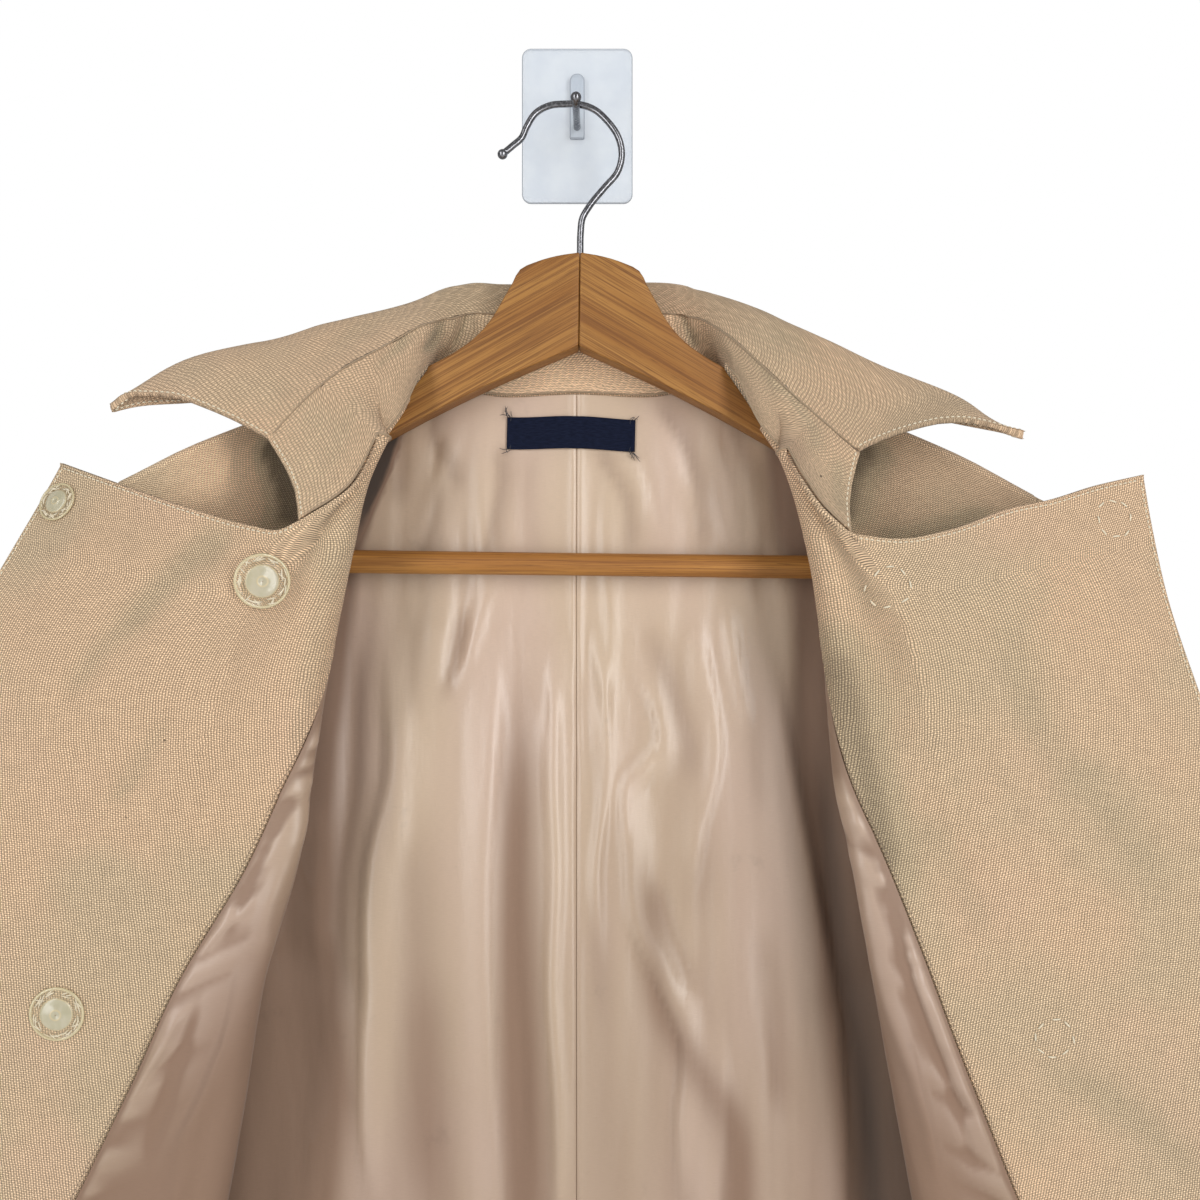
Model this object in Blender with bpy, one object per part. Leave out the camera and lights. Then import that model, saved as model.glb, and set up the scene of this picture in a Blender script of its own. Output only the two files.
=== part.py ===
"""An open double-breasted canvas jacket on a wooden hanger, hung on a small wall hook.

The wall is the plane Y = 0 and the jacket hangs towards -Y. X runs to the viewer's
right, Z up, and the origin is the middle of the wall plate's back face. Tables are in
millimetres, everything else in metres. "Left" and "right" are the viewer's.
"""
import math

import bmesh
import bpy
import numpy as np
from mathutils import Vector
from mathutils.bvhtree import BVHTree

MM = 0.001
GAP = 0.3 * MM
LEFT, RIGHT = -1, 1
NEAR = 1e-6

# Cloth walls
CANVAS = 1.2 * MM
SATIN = 1.0 * MM
LABEL = 1.0 * MM
STAND_CLOTH = 2.0 * MM
FALL_CLOTH = 2.2 * MM

# Wall plate and hook
PLATE_WIDTH, PLATE_HEIGHT, PLATE_THICK = 60 * MM, 84 * MM, 2.5 * MM
PLATE_CORNER = 5 * MM
BOSS_WIDTH, BOSS_TOP, BOSS_LOW, BOSS_THICK = 8 * MM, 27 * MM, -8 * MM, 3.5 * MM
WALL_HOOK_WIRE = 3.8 * MM
BALL = 5.6 * MM
WIRE = 3.5 * MM

# Hanger
HANGER_MIDDLE = 2 * MM
HANGER_TOP = -78 * MM
HANGER_OFF = -28 * MM
HANGER_TILT = math.radians(0.7)
WOOD = 18 * MM
WOOD_EDGE = 1.8 * MM
BAR_WIDTH, BAR_LEVEL, BAR_REACH = 12 * MM, -160.5 * MM, 207 * MM
BAR_HOLE = BAR_WIDTH + 2 * GAP
HOOK_DEPTH = 14 * MM

# Body of the jacket
SHOULDER_REACH, SHOULDER_LEVEL, SHOULDER_DROP = 238 * MM, -196 * MM, 7 * MM
UNDERARM_REACH, UNDERARM_LEVEL, UNDERARM_OFF = 228 * MM, -400 * MM, -24 * MM
HEM_REACH, HEM_LEVEL = 232 * MM, -765 * MM
ARMHOLE_HALF = 10 * MM
BACK_OFF = -15 * MM
FRONT_OFF = -39.5 * MM
SIDE_CURL = 24 * MM
SEAM_ARCH = 5 * MM
NECK_ARCH = 2 * MM
ARCH_ROWS = 0.02
ARM_ROWS = 0.36
TOP_FADE, NECK_FADE = 0.35, 0.10
FOLD_TIGHT, FOLD_SOFT, FOLD_OPENS = 3.5 * MM, 10 * MM, 0.12
REAR_FOLD, FRONT_FOLD = 0.30, 0.42
FOLD_SET, RISE_START = 2 * MM, 0.17
NECK_SHARE, GORGE_SHARE = 0.38, 0.22
NECK_START = REAR_FOLD * (1 - NECK_SHARE)
GORGE_END = FRONT_FOLD + (1 - FRONT_FOLD) * GORGE_SHARE
BACK_SHOULDER = 0.32
BACK_WAVE, BACK_WAVES, WAVE_START, WAVE_FULL = 2.5 * MM, 5, 0.15, 0.65
FLAP_BULGE, BULGE_STARTS, FLAP_SWEEP = 6 * MM, 0.1, 1.5

SEAM_ALLOWANCE = 0.10
SEAM_GAP = 0.5 * MM
LINING_TOP = 0.11
SLEEVE_GAP = 0.8 * MM
LAYER = CANVAS / 2 + GAP
LINING_SEAM = 0.0001
STAND_LIFT = [0.8, 1.2, 1.8, 2.0, 2.0, 2.0, 2.6, 3.4, 3.0, 1.6]
BACK_STATIONS = (1, 0.6, 0.32, 0.14, 0)
COLLAR_STOPS, COLLAR_STEPS = [0, 4, 6, 8, 9], [6, 4, 6, 2]
FALL_SEAM = 1.2 * MM
ROLL_AT = 0.36
END_FROM, END_TURN = 0.86, 3.5

SNAP_SMALL, SNAP_LARGE = 20 * MM, 26 * MM
SNAP_REST = 0.3 * MM

LABEL_MIDDLE = (-3 * MM, -169.5 * MM)
LABEL_WIDTH, LABEL_HEIGHT = 68 * MM, 17 * MM
LABEL_TILT = math.radians(1.3)

COLOURS = {
    "canvas": ((0.58, 0.43, 0.25), 0.85, 0.0),
    "satin": ((0.62, 0.47, 0.37), 0.35, 0.0),
    "navy": ((0.01, 0.015, 0.035), 0.6, 0.0),
    "wood": ((0.45, 0.22, 0.07), 0.45, 0.0),
    "steel": ((0.6, 0.6, 0.6), 0.25, 1.0),
    "clear": ((0.8, 0.85, 0.9), 0.2, 0.0),
    "snap": ((0.75, 0.68, 0.45), 0.3, 0.0),
}

# Lines of the jacket: across, off the wall, level
SHOULDER_SEAM = [(-238, -28, -196), (-203, -28, -179), (-173, -28, -167), (-76, -28, -134)]
BACK_NECK = [(-76, -28, -134), (-75.5, -22, -132.5), (-73, -16.5, -133.5), (-68, -15, -139),
             (-53, -15, -145), (0, -15, -146)]

FRONTS = {
    LEFT: {
        "neck": [(-76, -28, -134), (-79, -41, -138), (-83, -49, -149), (-89, -59, -164)],
        "fold": [(-91, -68, -176), (-102, -72, -202), (-107, -74, -231), (-117, -74, -281),
                 (-127, -73, -339), (-135, -72, -386), (-152, -70, -444), (-161, -68, -499),
                 (-169, -66, -543), (-190, -62, -650), (-212, -58, -768)],
        "gorge": [(-107, -84, -203), (-130, -90, -220)],
        "lapel": [(-130, -90, -220), (-139, -90, -224), (-152, -89, -222), (-184, -82, -213),
                  (-223, -70, -200), (-255, -58, -189)],
        "edge": [(-255, -58, -189), (-263, -60, -206), (-281, -68, -244), (-325, -78, -325),
                 (-372, -83, -416), (-410, -80, -500), (-440, -74, -590), (-455, -66, -672)],
        "seam_start": -295 * MM,
        "seam_lean": 0.2865,
        "snaps": [(-253, -210, SNAP_SMALL), (-146, -248, SNAP_LARGE), (-245, -453, SNAP_LARGE),
                  (-352, -416, SNAP_LARGE)],
    },
    RIGHT: {
        "neck": [(76, -28, -134), (80, -41, -138), (86, -49, -151), (94, -59, -170)],
        "fold": [(99, -68, -183), (106, -70, -200), (113, -74, -233), (120, -74, -281),
                 (127, -73, -350), (135, -72, -384), (143, -71, -425), (151, -69, -472),
                 (160, -67, -520), (166, -66, -552), (188, -62, -655), (210, -58, -775)],
        "gorge": [(109, -83, -198), (118, -88, -213), (131, -90, -226)],
        "lapel": [(131, -90, -226), (156, -89, -228), (177, -86, -224), (209, -78, -213),
                  (232, -72, -208), (255, -66, -201), (281, -60, -195)],
        "edge": [(281, -60, -195), (284, -63, -223), (289, -68, -257), (303, -74, -306),
                 (325, -78, -370), (350, -82, -432), (378, -80, -510), (400, -74, -590),
                 (412, -66, -682)],
        "seam_start": -292 * MM,
        "seam_lean": 0.205,
        "snaps": [(263, -218, SNAP_LARGE), (148, -251, SNAP_LARGE), (228, -465, SNAP_LARGE),
                  (330, -425, SNAP_LARGE)],
    },
}

# Collar, from the back neck out to the tip, one place for each of STAND_LIFT
COLLAR = {
    LEFT: {
        "stand_high": [(0, -16, -104), (-43, -16.5, -105), (-55, -18.5, -105), (-62, -22, -107),
                       (-68, -27, -110), (-80, -40, -117), (-96, -50, -129), (-115, -62, -143),
                       (-132, -71, -160), (-148, -77, -180)],
        "roll": [(0, -13, -90), (-37, -14, -90), (-53, -17, -90), (-62, -20, -92), (-70, -24, -95),
                 (-86, -32, -104), (-110, -42, -112), (-145, -52, -126), (-183, -61, -138),
                 (-205, -72, -159)],
        "free": [(0, -6, -148), (-40, -7, -146), (-72, -11, -138), (-86, -15, -135), (-100, -21, -133),
                 (-126, -38, -140), (-150, -47, -151), (-185, -55, -158), (-213, -62, -161),
                 (-231, -68, -164)],
    },
    RIGHT: {
        "stand_high": [(0, -16, -104), (43, -16.5, -105), (56, -18.5, -106), (62, -22, -108),
                       (68, -27, -111), (80, -40, -123), (93, -50, -138), (110, -60, -157),
                       (125, -69, -173), (138, -77, -186)],
        "roll": [(0, -13, -90), (38, -14, -89), (55, -17, -91), (62, -20, -94), (70, -24, -97),
                 (88, -32, -105), (114, -42, -119), (146, -52, -139), (178, -60, -156),
                 (182, -74, -172)],
        "free": [(0, -6, -148), (40, -7, -146), (72, -11, -138), (86, -15, -136), (100, -21, -135),
                 (124, -38, -146), (148, -48, -160), (182, -57, -168), (207, -64, -174),
                 (224, -68, -177)],
    },
}

# Sleeve rings, left one: outer seam across and level, inner seam, middle and half depth
SLEEVE = [
    # outer x, z, inner x, z, middle y, half y
    (-238, -196, -228, -400, -26, 10),
    (-256, -208, -233, -404, -28, 14),
    (-280, -243, -237, -412, -32, 19),
    (-300, -300, -240, -424, -35, 22),
    (-316, -375, -241, -442, -37, 23),
    (-326, -470, -243, -500, -37, 22),
    (-333, -600, -247, -610, -36, 20),
    (-340, -790, -255, -795, -34, 18),
]

# Hanger arm, below the head's top: reach from the middle, then level
ARM_TOP = [(0, 0), (12, -2), (22, -5), (31, -9.5), (35, -17), (39, -24), (44, -33), (52, -43),
           (62, -51), (79, -60.5), (98, -70), (120, -79), (150, -90.5), (175, -100.5), (192, -108),
           (203, -113), (209, -126), (210, -150)]
ARM_LOW = [(0, -48), (51, -71), (101, -97.5), (140, -121), (170, -142), (186, -158),
           (196, -172), (206, -170)]

# Hanger hook's middle line: across and level
HOOK_LINE = [(-38.5, -24.6), (-33, -20), (-28.5, -16), (-26, -10.5), (-21, -3), (-13.5, 0.9),
             (-6, 1.6), (0, 1.6), (9, -1.1), (16.5, -7.7), (22, -16.1), (23.7, -24.5),
             (21.5, -33.8), (14.6, -42.1), (7, -51.4), (3.2, -58), (2.2, -66), (2, -76)]


class Line:
    """A smooth line through a table's points, at(0) to at(1) by length."""

    def __init__(self, rows):
        self.points = np.array(rows, float) * MM
        steps = np.linalg.norm(np.diff(self.points, axis=0), axis=1)
        self.knots = np.concatenate([[0.0], np.cumsum(steps)]) / steps.sum()
        self.slopes = np.gradient(self.points, self.knots, axis=0)

    def at(self, t):
        t = np.clip(np.asarray(t, float), 0, 1)
        k = np.clip(np.searchsorted(self.knots, t, side="right") - 1, 0, len(self.knots) - 2)
        width = (self.knots[k + 1] - self.knots[k])[..., None]
        s = (t - self.knots[k])[..., None] / width
        start = (1 + 2 * s) * (1 - s) ** 2
        end = s * s * (3 - 2 * s)
        leave = s * (1 - s) ** 2 * width
        arrive = s * s * (s - 1) * width
        return (start * self.points[k] + end * self.points[k + 1]
                + leave * self.slopes[k] + arrive * self.slopes[k + 1])


def ease(s):
    s = np.clip(s, 0, 1)
    return s * s * (3 - 2 * s)


def mix(a, b, s):
    return a + (b - a) * s


def stack(x, y, z):
    return np.stack(np.broadcast_arrays(x, y, z), axis=-1)


def flip(rows, drop=0):
    """The same line on the other side, lower at its outer end by drop millimetres."""
    reaches = [abs(x) for x, _, _ in rows]
    near, far = min(reaches), max(reaches)
    return [(-x, y, z - drop * (abs(x) - near) / (far - near)) for x, y, z in rows]


def normals(surface, u, v, step=1e-3):
    """Unit normals of a surface, du x dv."""
    du = surface(np.clip(u + step, 0, 1), v) - surface(np.clip(u - step, 0, 1), v)
    dv = surface(u, np.clip(v + step, 0, 1)) - surface(u, np.clip(v - step, 0, 1))
    n = np.cross(du, dv)
    return n / np.linalg.norm(n, axis=-1, keepdims=True)


def side_line(side, v, face):
    """Armhole and side seam; face is -1 on the front's edge and 1 on the back's."""
    a = np.clip(v / ARM_ROWS, 0, 1)
    b = np.clip((v - ARM_ROWS) / (1 - ARM_ROWS), 0, 1)
    reach = mix(mix(SHOULDER_REACH, UNDERARM_REACH, a), HEM_REACH, b) - GAP
    level = mix(mix(SHOULDER_LEVEL, UNDERARM_LEVEL, a), HEM_LEVEL, b)
    level = level - (SHOULDER_DROP if side == RIGHT else 0)
    middle = mix(HANGER_OFF, UNDERARM_OFF, a)
    half = ARMHOLE_HALF * np.sqrt(np.clip(1 - (2 * a - 1) ** 2, 0, 1))
    rim = CANVAS / 2 + GAP / 2
    return stack(side * reach, middle + face * np.maximum(half, rim), level)


class Front:
    """One front: from the side seam inward, round the fold, and out to the front edge."""

    def __init__(self, side):
        rows = FRONTS[side]
        self.side = side
        self.shoulder = Line(SHOULDER_SEAM if side == LEFT else flip(SHOULDER_SEAM, SHOULDER_DROP / MM))
        self.fold, self.edge, self.lapel = Line(rows["fold"]), Line(rows["edge"]), Line(rows["lapel"])
        zero = np.array(0.0)
        rear = tuple(self.base(np.array(REAR_FOLD), zero) / MM)
        fore = tuple(self.base(np.array(FRONT_FOLD), zero) / MM)
        self.neck, self.gorge = Line(rows["neck"] + [rear]), Line([fore] + rows["gorge"])
        self.seam_start, self.seam_lean = rows["seam_start"], rows["seam_lean"]

    def radius(self, v):
        return mix(FOLD_TIGHT, FOLD_SOFT, ease(v / FOLD_OPENS))

    def base(self, u, v):
        side, r = self.side, self.radius(v)
        seam, fold, edge = side_line(side, v, -1), self.fold.at(v), self.edge.at(v)
        middle = fold[..., 0] + side * (r + FOLD_SET)
        hidden = np.clip(u / REAR_FOLD, 0, 1)
        across = mix(seam[..., 0], middle, hidden)
        curl = np.clip(np.abs(across - seam[..., 0]) / SIDE_CURL, 0, 1)
        rise = ease((hidden - RISE_START) / (1 - RISE_START))
        off = mix(mix(seam[..., 1], FRONT_OFF, ease(curl)), fold[..., 1] + r, rise)
        turn = np.clip((u - REAR_FOLD) / (FRONT_FOLD - REAR_FOLD), 0, 1) * math.pi
        bend_x = middle - side * r * np.sin(turn)
        bend_y = fold[..., 1] + r * np.cos(turn)
        flap = np.clip((u - FRONT_FOLD) / (1 - FRONT_FOLD), 0, 1)
        flap_x = mix(middle, edge[..., 0], flap)
        bulge = FLAP_BULGE * np.sin(math.pi * flap) * ease(v / BULGE_STARTS)
        flap_y = mix(fold[..., 1] - r, edge[..., 1], flap ** FLAP_SWEEP) - bulge
        x = np.where(u < REAR_FOLD, across, np.where(u < FRONT_FOLD, bend_x, flap_x))
        y = np.where(u < REAR_FOLD, off, np.where(u < FRONT_FOLD, bend_y, flap_y))
        z = mix(mix(seam[..., 2], fold[..., 2], hidden), edge[..., 2], flap)
        return stack(x, y, z)

    def top(self, u):
        hidden = np.clip(u / REAR_FOLD, 0, 1)
        flap = np.clip((u - FRONT_FOLD) / (1 - FRONT_FOLD), 0, 1)
        shoulder = self.shoulder.at(hidden / (1 - NECK_SHARE))
        neck = self.neck.at((hidden - 1 + NECK_SHARE) / NECK_SHARE)
        gorge = self.gorge.at(flap / GORGE_SHARE)
        lapel = self.lapel.at((flap - GORGE_SHARE) / (1 - GORGE_SHARE))
        rear = np.where((hidden < 1 - NECK_SHARE)[..., None], shoulder, neck)
        fore = np.where((flap < GORGE_SHARE)[..., None], gorge, lapel)
        bend = self.base(u, np.zeros_like(u))
        line = np.where((u < REAR_FOLD)[..., None], rear, bend)
        line = np.where((u > FRONT_FOLD)[..., None], fore, line)
        seam_gap = np.where(hidden < 1 - NECK_SHARE + NEAR, GAP, 0)
        return line - stack(0, seam_gap, 0)

    def at(self, u, v):
        u, v = np.broadcast_arrays(np.asarray(u, float), np.asarray(v, float))
        start = np.full_like(u, ARCH_ROWS)
        top, first = self.top(u), self.base(u, start)
        over_arm = np.clip((top[..., 1] - FRONT_OFF) / (HANGER_OFF - FRONT_OFF), 0, 1)
        over_arm = np.where(u < REAR_FOLD, over_arm, 0)
        arch = mix(NECK_ARCH, SEAM_ARCH, over_arm)
        behind = np.minimum(np.maximum(first[..., 1], FRONT_OFF), top[..., 1])
        landing_y = np.where(u < REAR_FOLD, behind, top[..., 1])
        landing = stack(top[..., 0], landing_y, top[..., 2] - arch)
        length = np.interp(u, [NECK_START, REAR_FOLD, FRONT_FOLD, GORGE_END],
                           [TOP_FADE, NECK_FADE, NECK_FADE, TOP_FADE])
        fade = np.clip(1 - (v - ARCH_ROWS) / length, 0, 1) ** 2
        body = self.base(u, np.maximum(v, ARCH_ROWS)) + fade[..., None] * (landing - first)
        angle = np.clip(v / ARCH_ROWS, 0, 1) * math.pi / 2
        head = stack(top[..., 0], mix(top[..., 1], landing_y, np.sin(angle)),
                     top[..., 2] - arch * (1 - np.cos(angle)))
        return np.where((v < ARCH_ROWS)[..., None], head, body)

    def seam(self, v):
        """Where the facing ends, as a share of the panel's width."""
        r, fold, edge = self.radius(v), self.fold.at(v), self.edge.at(v)
        along = self.seam_lean * (self.seam_start - fold[..., 2])
        quarter = r * math.pi / 2
        width = np.linalg.norm(edge - fold, axis=-1)
        rear_width = np.abs(side_line(self.side, v, -1)[..., 0] - fold[..., 0])
        middle = (REAR_FOLD + FRONT_FOLD) / 2
        half = (FRONT_FOLD - REAR_FOLD) / 2
        bend = middle + half * along / quarter
        flap = FRONT_FOLD + (1 - FRONT_FOLD) * (along - quarter) / width
        rear = REAR_FOLD + REAR_FOLD * (along + quarter) / rear_width
        return np.where(along > quarter, flap, np.where(along < -quarter, rear, bend))


class Back:
    """The back, from the left side seam to the right one."""

    def __init__(self):
        self.left, self.right = Line(SHOULDER_SEAM), Line(flip(SHOULDER_SEAM, SHOULDER_DROP / MM))
        self.neck_left, self.neck_right = Line(BACK_NECK), Line(flip(BACK_NECK))

    def base(self, u, v):
        left, right = side_line(LEFT, v, 1), side_line(RIGHT, v, 1)
        x = mix(left[..., 0], right[..., 0], u)
        z = mix(left[..., 2], right[..., 2], u)
        near = np.minimum(x - left[..., 0], right[..., 0] - x)
        wave = (BACK_WAVE * ease((v - WAVE_START) / (WAVE_FULL - WAVE_START))
                * np.cos(2 * math.pi * BACK_WAVES * u))
        middle = BACK_OFF + wave * ease(near / (3 * SIDE_CURL))
        return stack(x, mix(left[..., 1], middle, ease(near / SIDE_CURL)), z)

    def top(self, u):
        share = 0.5 - BACK_SHOULDER
        line = self.left.at(u / BACK_SHOULDER)
        line = np.where((u > BACK_SHOULDER)[..., None],
                        self.neck_left.at((u - BACK_SHOULDER) / share), line)
        line = np.where((u > 0.5)[..., None], self.neck_right.at((1 - BACK_SHOULDER - u) / share), line)
        line = np.where((u > 1 - BACK_SHOULDER)[..., None], self.right.at((1 - u) / BACK_SHOULDER), line)
        seam_gap = np.where(np.abs(u - 0.5) > share - NEAR, GAP, 0)
        return line + stack(0, seam_gap, 0)

    def at(self, u, v):
        u, v = np.broadcast_arrays(np.asarray(u, float), np.asarray(v, float))
        top, first = self.top(u), self.base(u, np.full_like(u, ARCH_ROWS))
        over_arm = np.clip((BACK_OFF - top[..., 1]) / (BACK_OFF - HANGER_OFF), 0, 1)
        arch = mix(NECK_ARCH, SEAM_ARCH, over_arm)
        landing_y = np.maximum(first[..., 1], top[..., 1])
        landing = stack(top[..., 0], landing_y, top[..., 2] - arch)
        fade = np.clip(1 - (v - ARCH_ROWS) / TOP_FADE, 0, 1) ** 2
        body = self.base(u, np.maximum(v, ARCH_ROWS)) + fade[..., None] * (landing - first)
        angle = np.clip(v / ARCH_ROWS, 0, 1) * math.pi / 2
        head = stack(top[..., 0], mix(top[..., 1], landing_y, np.sin(angle)),
                     top[..., 2] - arch * (1 - np.cos(angle)))
        return np.where((v < ARCH_ROWS)[..., None], head, body)


class Collar:
    """Stand and fall as one run from the left notch round the back neck to the right one."""

    def __init__(self, fronts):
        self.fronts = fronts
        self.back = {LEFT: Line(BACK_NECK), RIGHT: Line(flip(BACK_NECK))}
        self.high, self.roll, self.free = self.rows("stand_high"), self.rows("roll"), self.rows("free")
        middle = NECK_START + (REAR_FOLD - NECK_START) * np.array([0, 0.35, 0.75])
        gorge = FRONT_FOLD + (GORGE_END - FRONT_FOLD) * np.array([0.4, 1])
        self.front_shares = [*middle, (REAR_FOLD + FRONT_FOLD) / 2, *gorge]

    @staticmethod
    def rows(name):
        return np.array(COLLAR[LEFT][name][::-1] + COLLAR[RIGHT][name][1:], float) * MM

    def neckline(self, u):
        """Places on the jacket's own neckline, and how high the stand starts over them."""
        station = np.abs(2 * u - 1) * (len(STAND_LIFT) - 1)
        last = len(BACK_STATIONS) - 1
        behind = np.interp(station, range(last + 1), BACK_STATIONS)
        before = np.interp(station, range(last, len(STAND_LIFT)), self.front_shares)
        sides = [np.where((station < last)[..., None], self.back[side].at(behind),
                          self.fronts[side].top(before)) for side in (LEFT, RIGHT)]
        line = np.where((u < 0.5)[..., None], *sides)
        lift = np.interp(station, range(len(STAND_LIFT)), STAND_LIFT) * MM
        return line - np.array([0, CANVAS / 2 + GAP / 2, 0]), lift[..., None]

    @staticmethod
    def through(rows, t):
        line = Line(rows / MM)
        line.knots = np.linspace(0, 1, len(rows))
        line.slopes = np.gradient(line.points, line.knots, axis=0)
        return line.at(t)

    def stand(self, u, w):
        """u from the left end to the right, w from the neckline up."""
        low, lift = self.neckline(np.asarray(u, float))
        high = self.through(self.high, u)
        rise = high - low
        low = low + rise / np.linalg.norm(rise, axis=-1, keepdims=True) * lift
        return mix(low, high, np.asarray(w)[..., None])

    def fall(self, u, w):
        """w from the seam over the roll and down to the free edge."""
        seam, roll = self.through(self.high, u), self.through(self.roll, u)
        free = self.through(self.free, u)
        rise = roll - seam
        seam = seam + rise / np.linalg.norm(rise, axis=-1, keepdims=True) * FALL_SEAM
        w = np.asarray(w)[..., None]
        lean = (free - seam) * 0.55 + (roll - mix(seam, free, ROLL_AT)) * 0.5
        up = np.clip(w / ROLL_AT, 0, 1)
        down = np.clip((w - ROLL_AT) / (1 - ROLL_AT), 0, 1)
        onward = END_TURN * (self.stand(u, 1.0) - self.stand(u, 0.9))
        end = ease((np.abs(2 * np.asarray(u) - 1) - END_FROM) / (1 - END_FROM))[..., None]
        leave = mix((roll - seam) * 1.1, (roll - seam) * 0.6 + onward, end)
        front = hermite(seam, roll, leave, lean * 0.45, up)
        back = hermite(roll, free, lean * 0.9, free - roll, down)
        return np.where(w < ROLL_AT, front, back)


class Sleeve:
    """Half a sleeve between its outer and inner seams, bowed out to face."""

    def __init__(self, side, face):
        self.side, self.face = side, face
        self.table = np.array(SLEEVE, float) * MM
        self.knots = np.linspace(0, 1, len(SLEEVE))
        self.slopes = np.gradient(self.table, self.knots, axis=0)

    def row(self, v):
        spans = len(SLEEVE) - 1
        k = np.clip((v * spans).astype(int), 0, spans - 1)
        s = ((v - self.knots[k]) * spans)[..., None]
        return hermite(self.table[k], self.table[k + 1], self.slopes[k] / spans,
                       self.slopes[k + 1] / spans, s)

    def at(self, u, v):
        """u from the outer seam to the inner one, v from the shoulder to the cuff."""
        u, v = np.broadcast_arrays(np.asarray(u, float), np.asarray(v, float))
        outer_x, outer_z, inner_x, inner_z, middle, half = np.moveaxis(self.row(v), -1, 0)
        angle = mix(GAP / half, math.pi - GAP / half, u)
        share = (1 - np.cos(angle)) / 2
        drop = SHOULDER_DROP if self.side == RIGHT else 0
        x = mix(outer_x, inner_x, share) - SLEEVE_GAP
        z = mix(outer_z, inner_z, share) - drop
        return stack(-self.side * x, middle + self.face * half * np.sin(angle), z)


def hermite(a, b, leave, arrive, s):
    return ((1 + 2 * s) * (1 - s) ** 2 * a + s * s * (3 - 2 * s) * b
            + s * (1 - s) ** 2 * leave + s * s * (s - 1) * arrive)


def material(name):
    """One Principled BSDF material for each finish."""
    found = bpy.data.materials.get(name)
    if found:
        return found
    colour, roughness, metallic = COLOURS[name]
    made = bpy.data.materials.new(name)
    made.use_nodes = True
    shader = made.node_tree.nodes["Principled BSDF"]
    shader.inputs["Base Color"].default_value = (*colour, 1)
    shader.inputs["Roughness"].default_value = roughness
    shader.inputs["Metallic"].default_value = metallic
    made.diffuse_color = (*colour, 1)
    return made


def add_object(name, vertices, faces, finish):
    mesh = bpy.data.meshes.new(name)
    mesh.from_pydata([tuple(p) for p in vertices], [], faces)
    work = bmesh.new()
    work.from_mesh(mesh)
    bmesh.ops.recalc_face_normals(work, faces=work.faces)
    work.to_mesh(mesh)
    work.free()
    mesh.shade_smooth()
    mesh.set_sharp_from_angle(angle=math.radians(40))
    piece = bpy.data.objects.new(name, mesh)
    mesh.materials.append(material(finish))
    bpy.context.scene.collection.objects.link(piece)
    return piece


class Patch:
    """Triangles on a surface, with the surface's points and normals at their corners."""

    def __init__(self, surface, u, v, facing=1):
        rows, columns = u.shape
        self.u, self.v = u.ravel(), v.ravel()
        self.points = surface(u, v).reshape(-1, 3)
        self.across = (normals(surface, u, v) * facing).reshape(-1, 3)
        self.faces = []
        for i in range(rows - 1):
            for j in range(columns - 1):
                a, b = i * columns + j, i * columns + j + 1
                c, d = b + columns, a + columns
                self.faces += [(a, b, c), (a, c, d)]

    def part(self, value):
        """The part of the patch whose value, given at the corners, is above zero."""
        piece = object.__new__(Patch)
        points, across = list(self.points), list(self.across)
        u, v, made, faces = list(self.u), list(self.v), {}, []

        def crossing(kept, other):
            if (kept, other) not in made:
                length = np.linalg.norm(self.points[kept] - self.points[other])
                share = value[kept] / (value[kept] - value[other]) - SEAM_GAP / length
                share = np.clip(share, 0.02, 0.94)
                made[kept, other] = len(points)
                for values in (points, across, u, v):
                    values.append(mix(values[kept], values[other], share))
            return made[kept, other]

        for face in self.faces:
            ring = []
            for a, b in zip(face, face[1:] + face[:1]):
                if value[a] > 0:
                    ring.append(a)
                if value[a] > 0 >= value[b]:
                    ring.append(crossing(a, b))
                if value[b] > 0 >= value[a]:
                    ring.append(crossing(b, a))
            faces += [(ring[0], b, c) for b, c in zip(ring[1:], ring[2:])]
        piece.points, piece.across, piece.faces = np.array(points), np.array(across), faces
        piece.u, piece.v = np.array(u), np.array(v)
        return piece


def cloth(name, patch, start, thick, finish):
    """A closed wall on a patch, from start metres off its points and thick metres through."""
    used = sorted({corner for face in patch.faces for corner in face})
    number = {corner: k for k, corner in enumerate(used)}
    faces = [tuple(number[corner] for corner in face) for face in patch.faces]
    points, across = patch.points[used], patch.across[used]
    far = len(used)
    sides = {(a, b) for face in faces for a, b in zip(face, face[1:] + face[:1])}
    rim = [(b, a, a + far, b + far) for a, b in sides if (b, a) not in sides]
    low, high = points + across * start, points + across * (start + thick)
    shell = [face[::-1] for face in faces] + [tuple(k + far for k in face) for face in faces]
    return add_object(name, np.concatenate([low, high]), shell + sorted(rim), finish)


def grid(us, vs):
    v, u = np.meshgrid(np.asarray(vs, float), np.asarray(us, float), indexing="ij")
    return u, v


def spread(stops, counts):
    """Values through the stops, with a count of steps between each two."""
    parts = [np.linspace(a, b, n, endpoint=False) for a, b, n in zip(stops, stops[1:], counts)]
    return np.concatenate(parts + [[stops[-1]]])


BODY_ROWS = spread([0, ARCH_ROWS, TOP_FADE, 1], [2, 6, 7])


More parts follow.
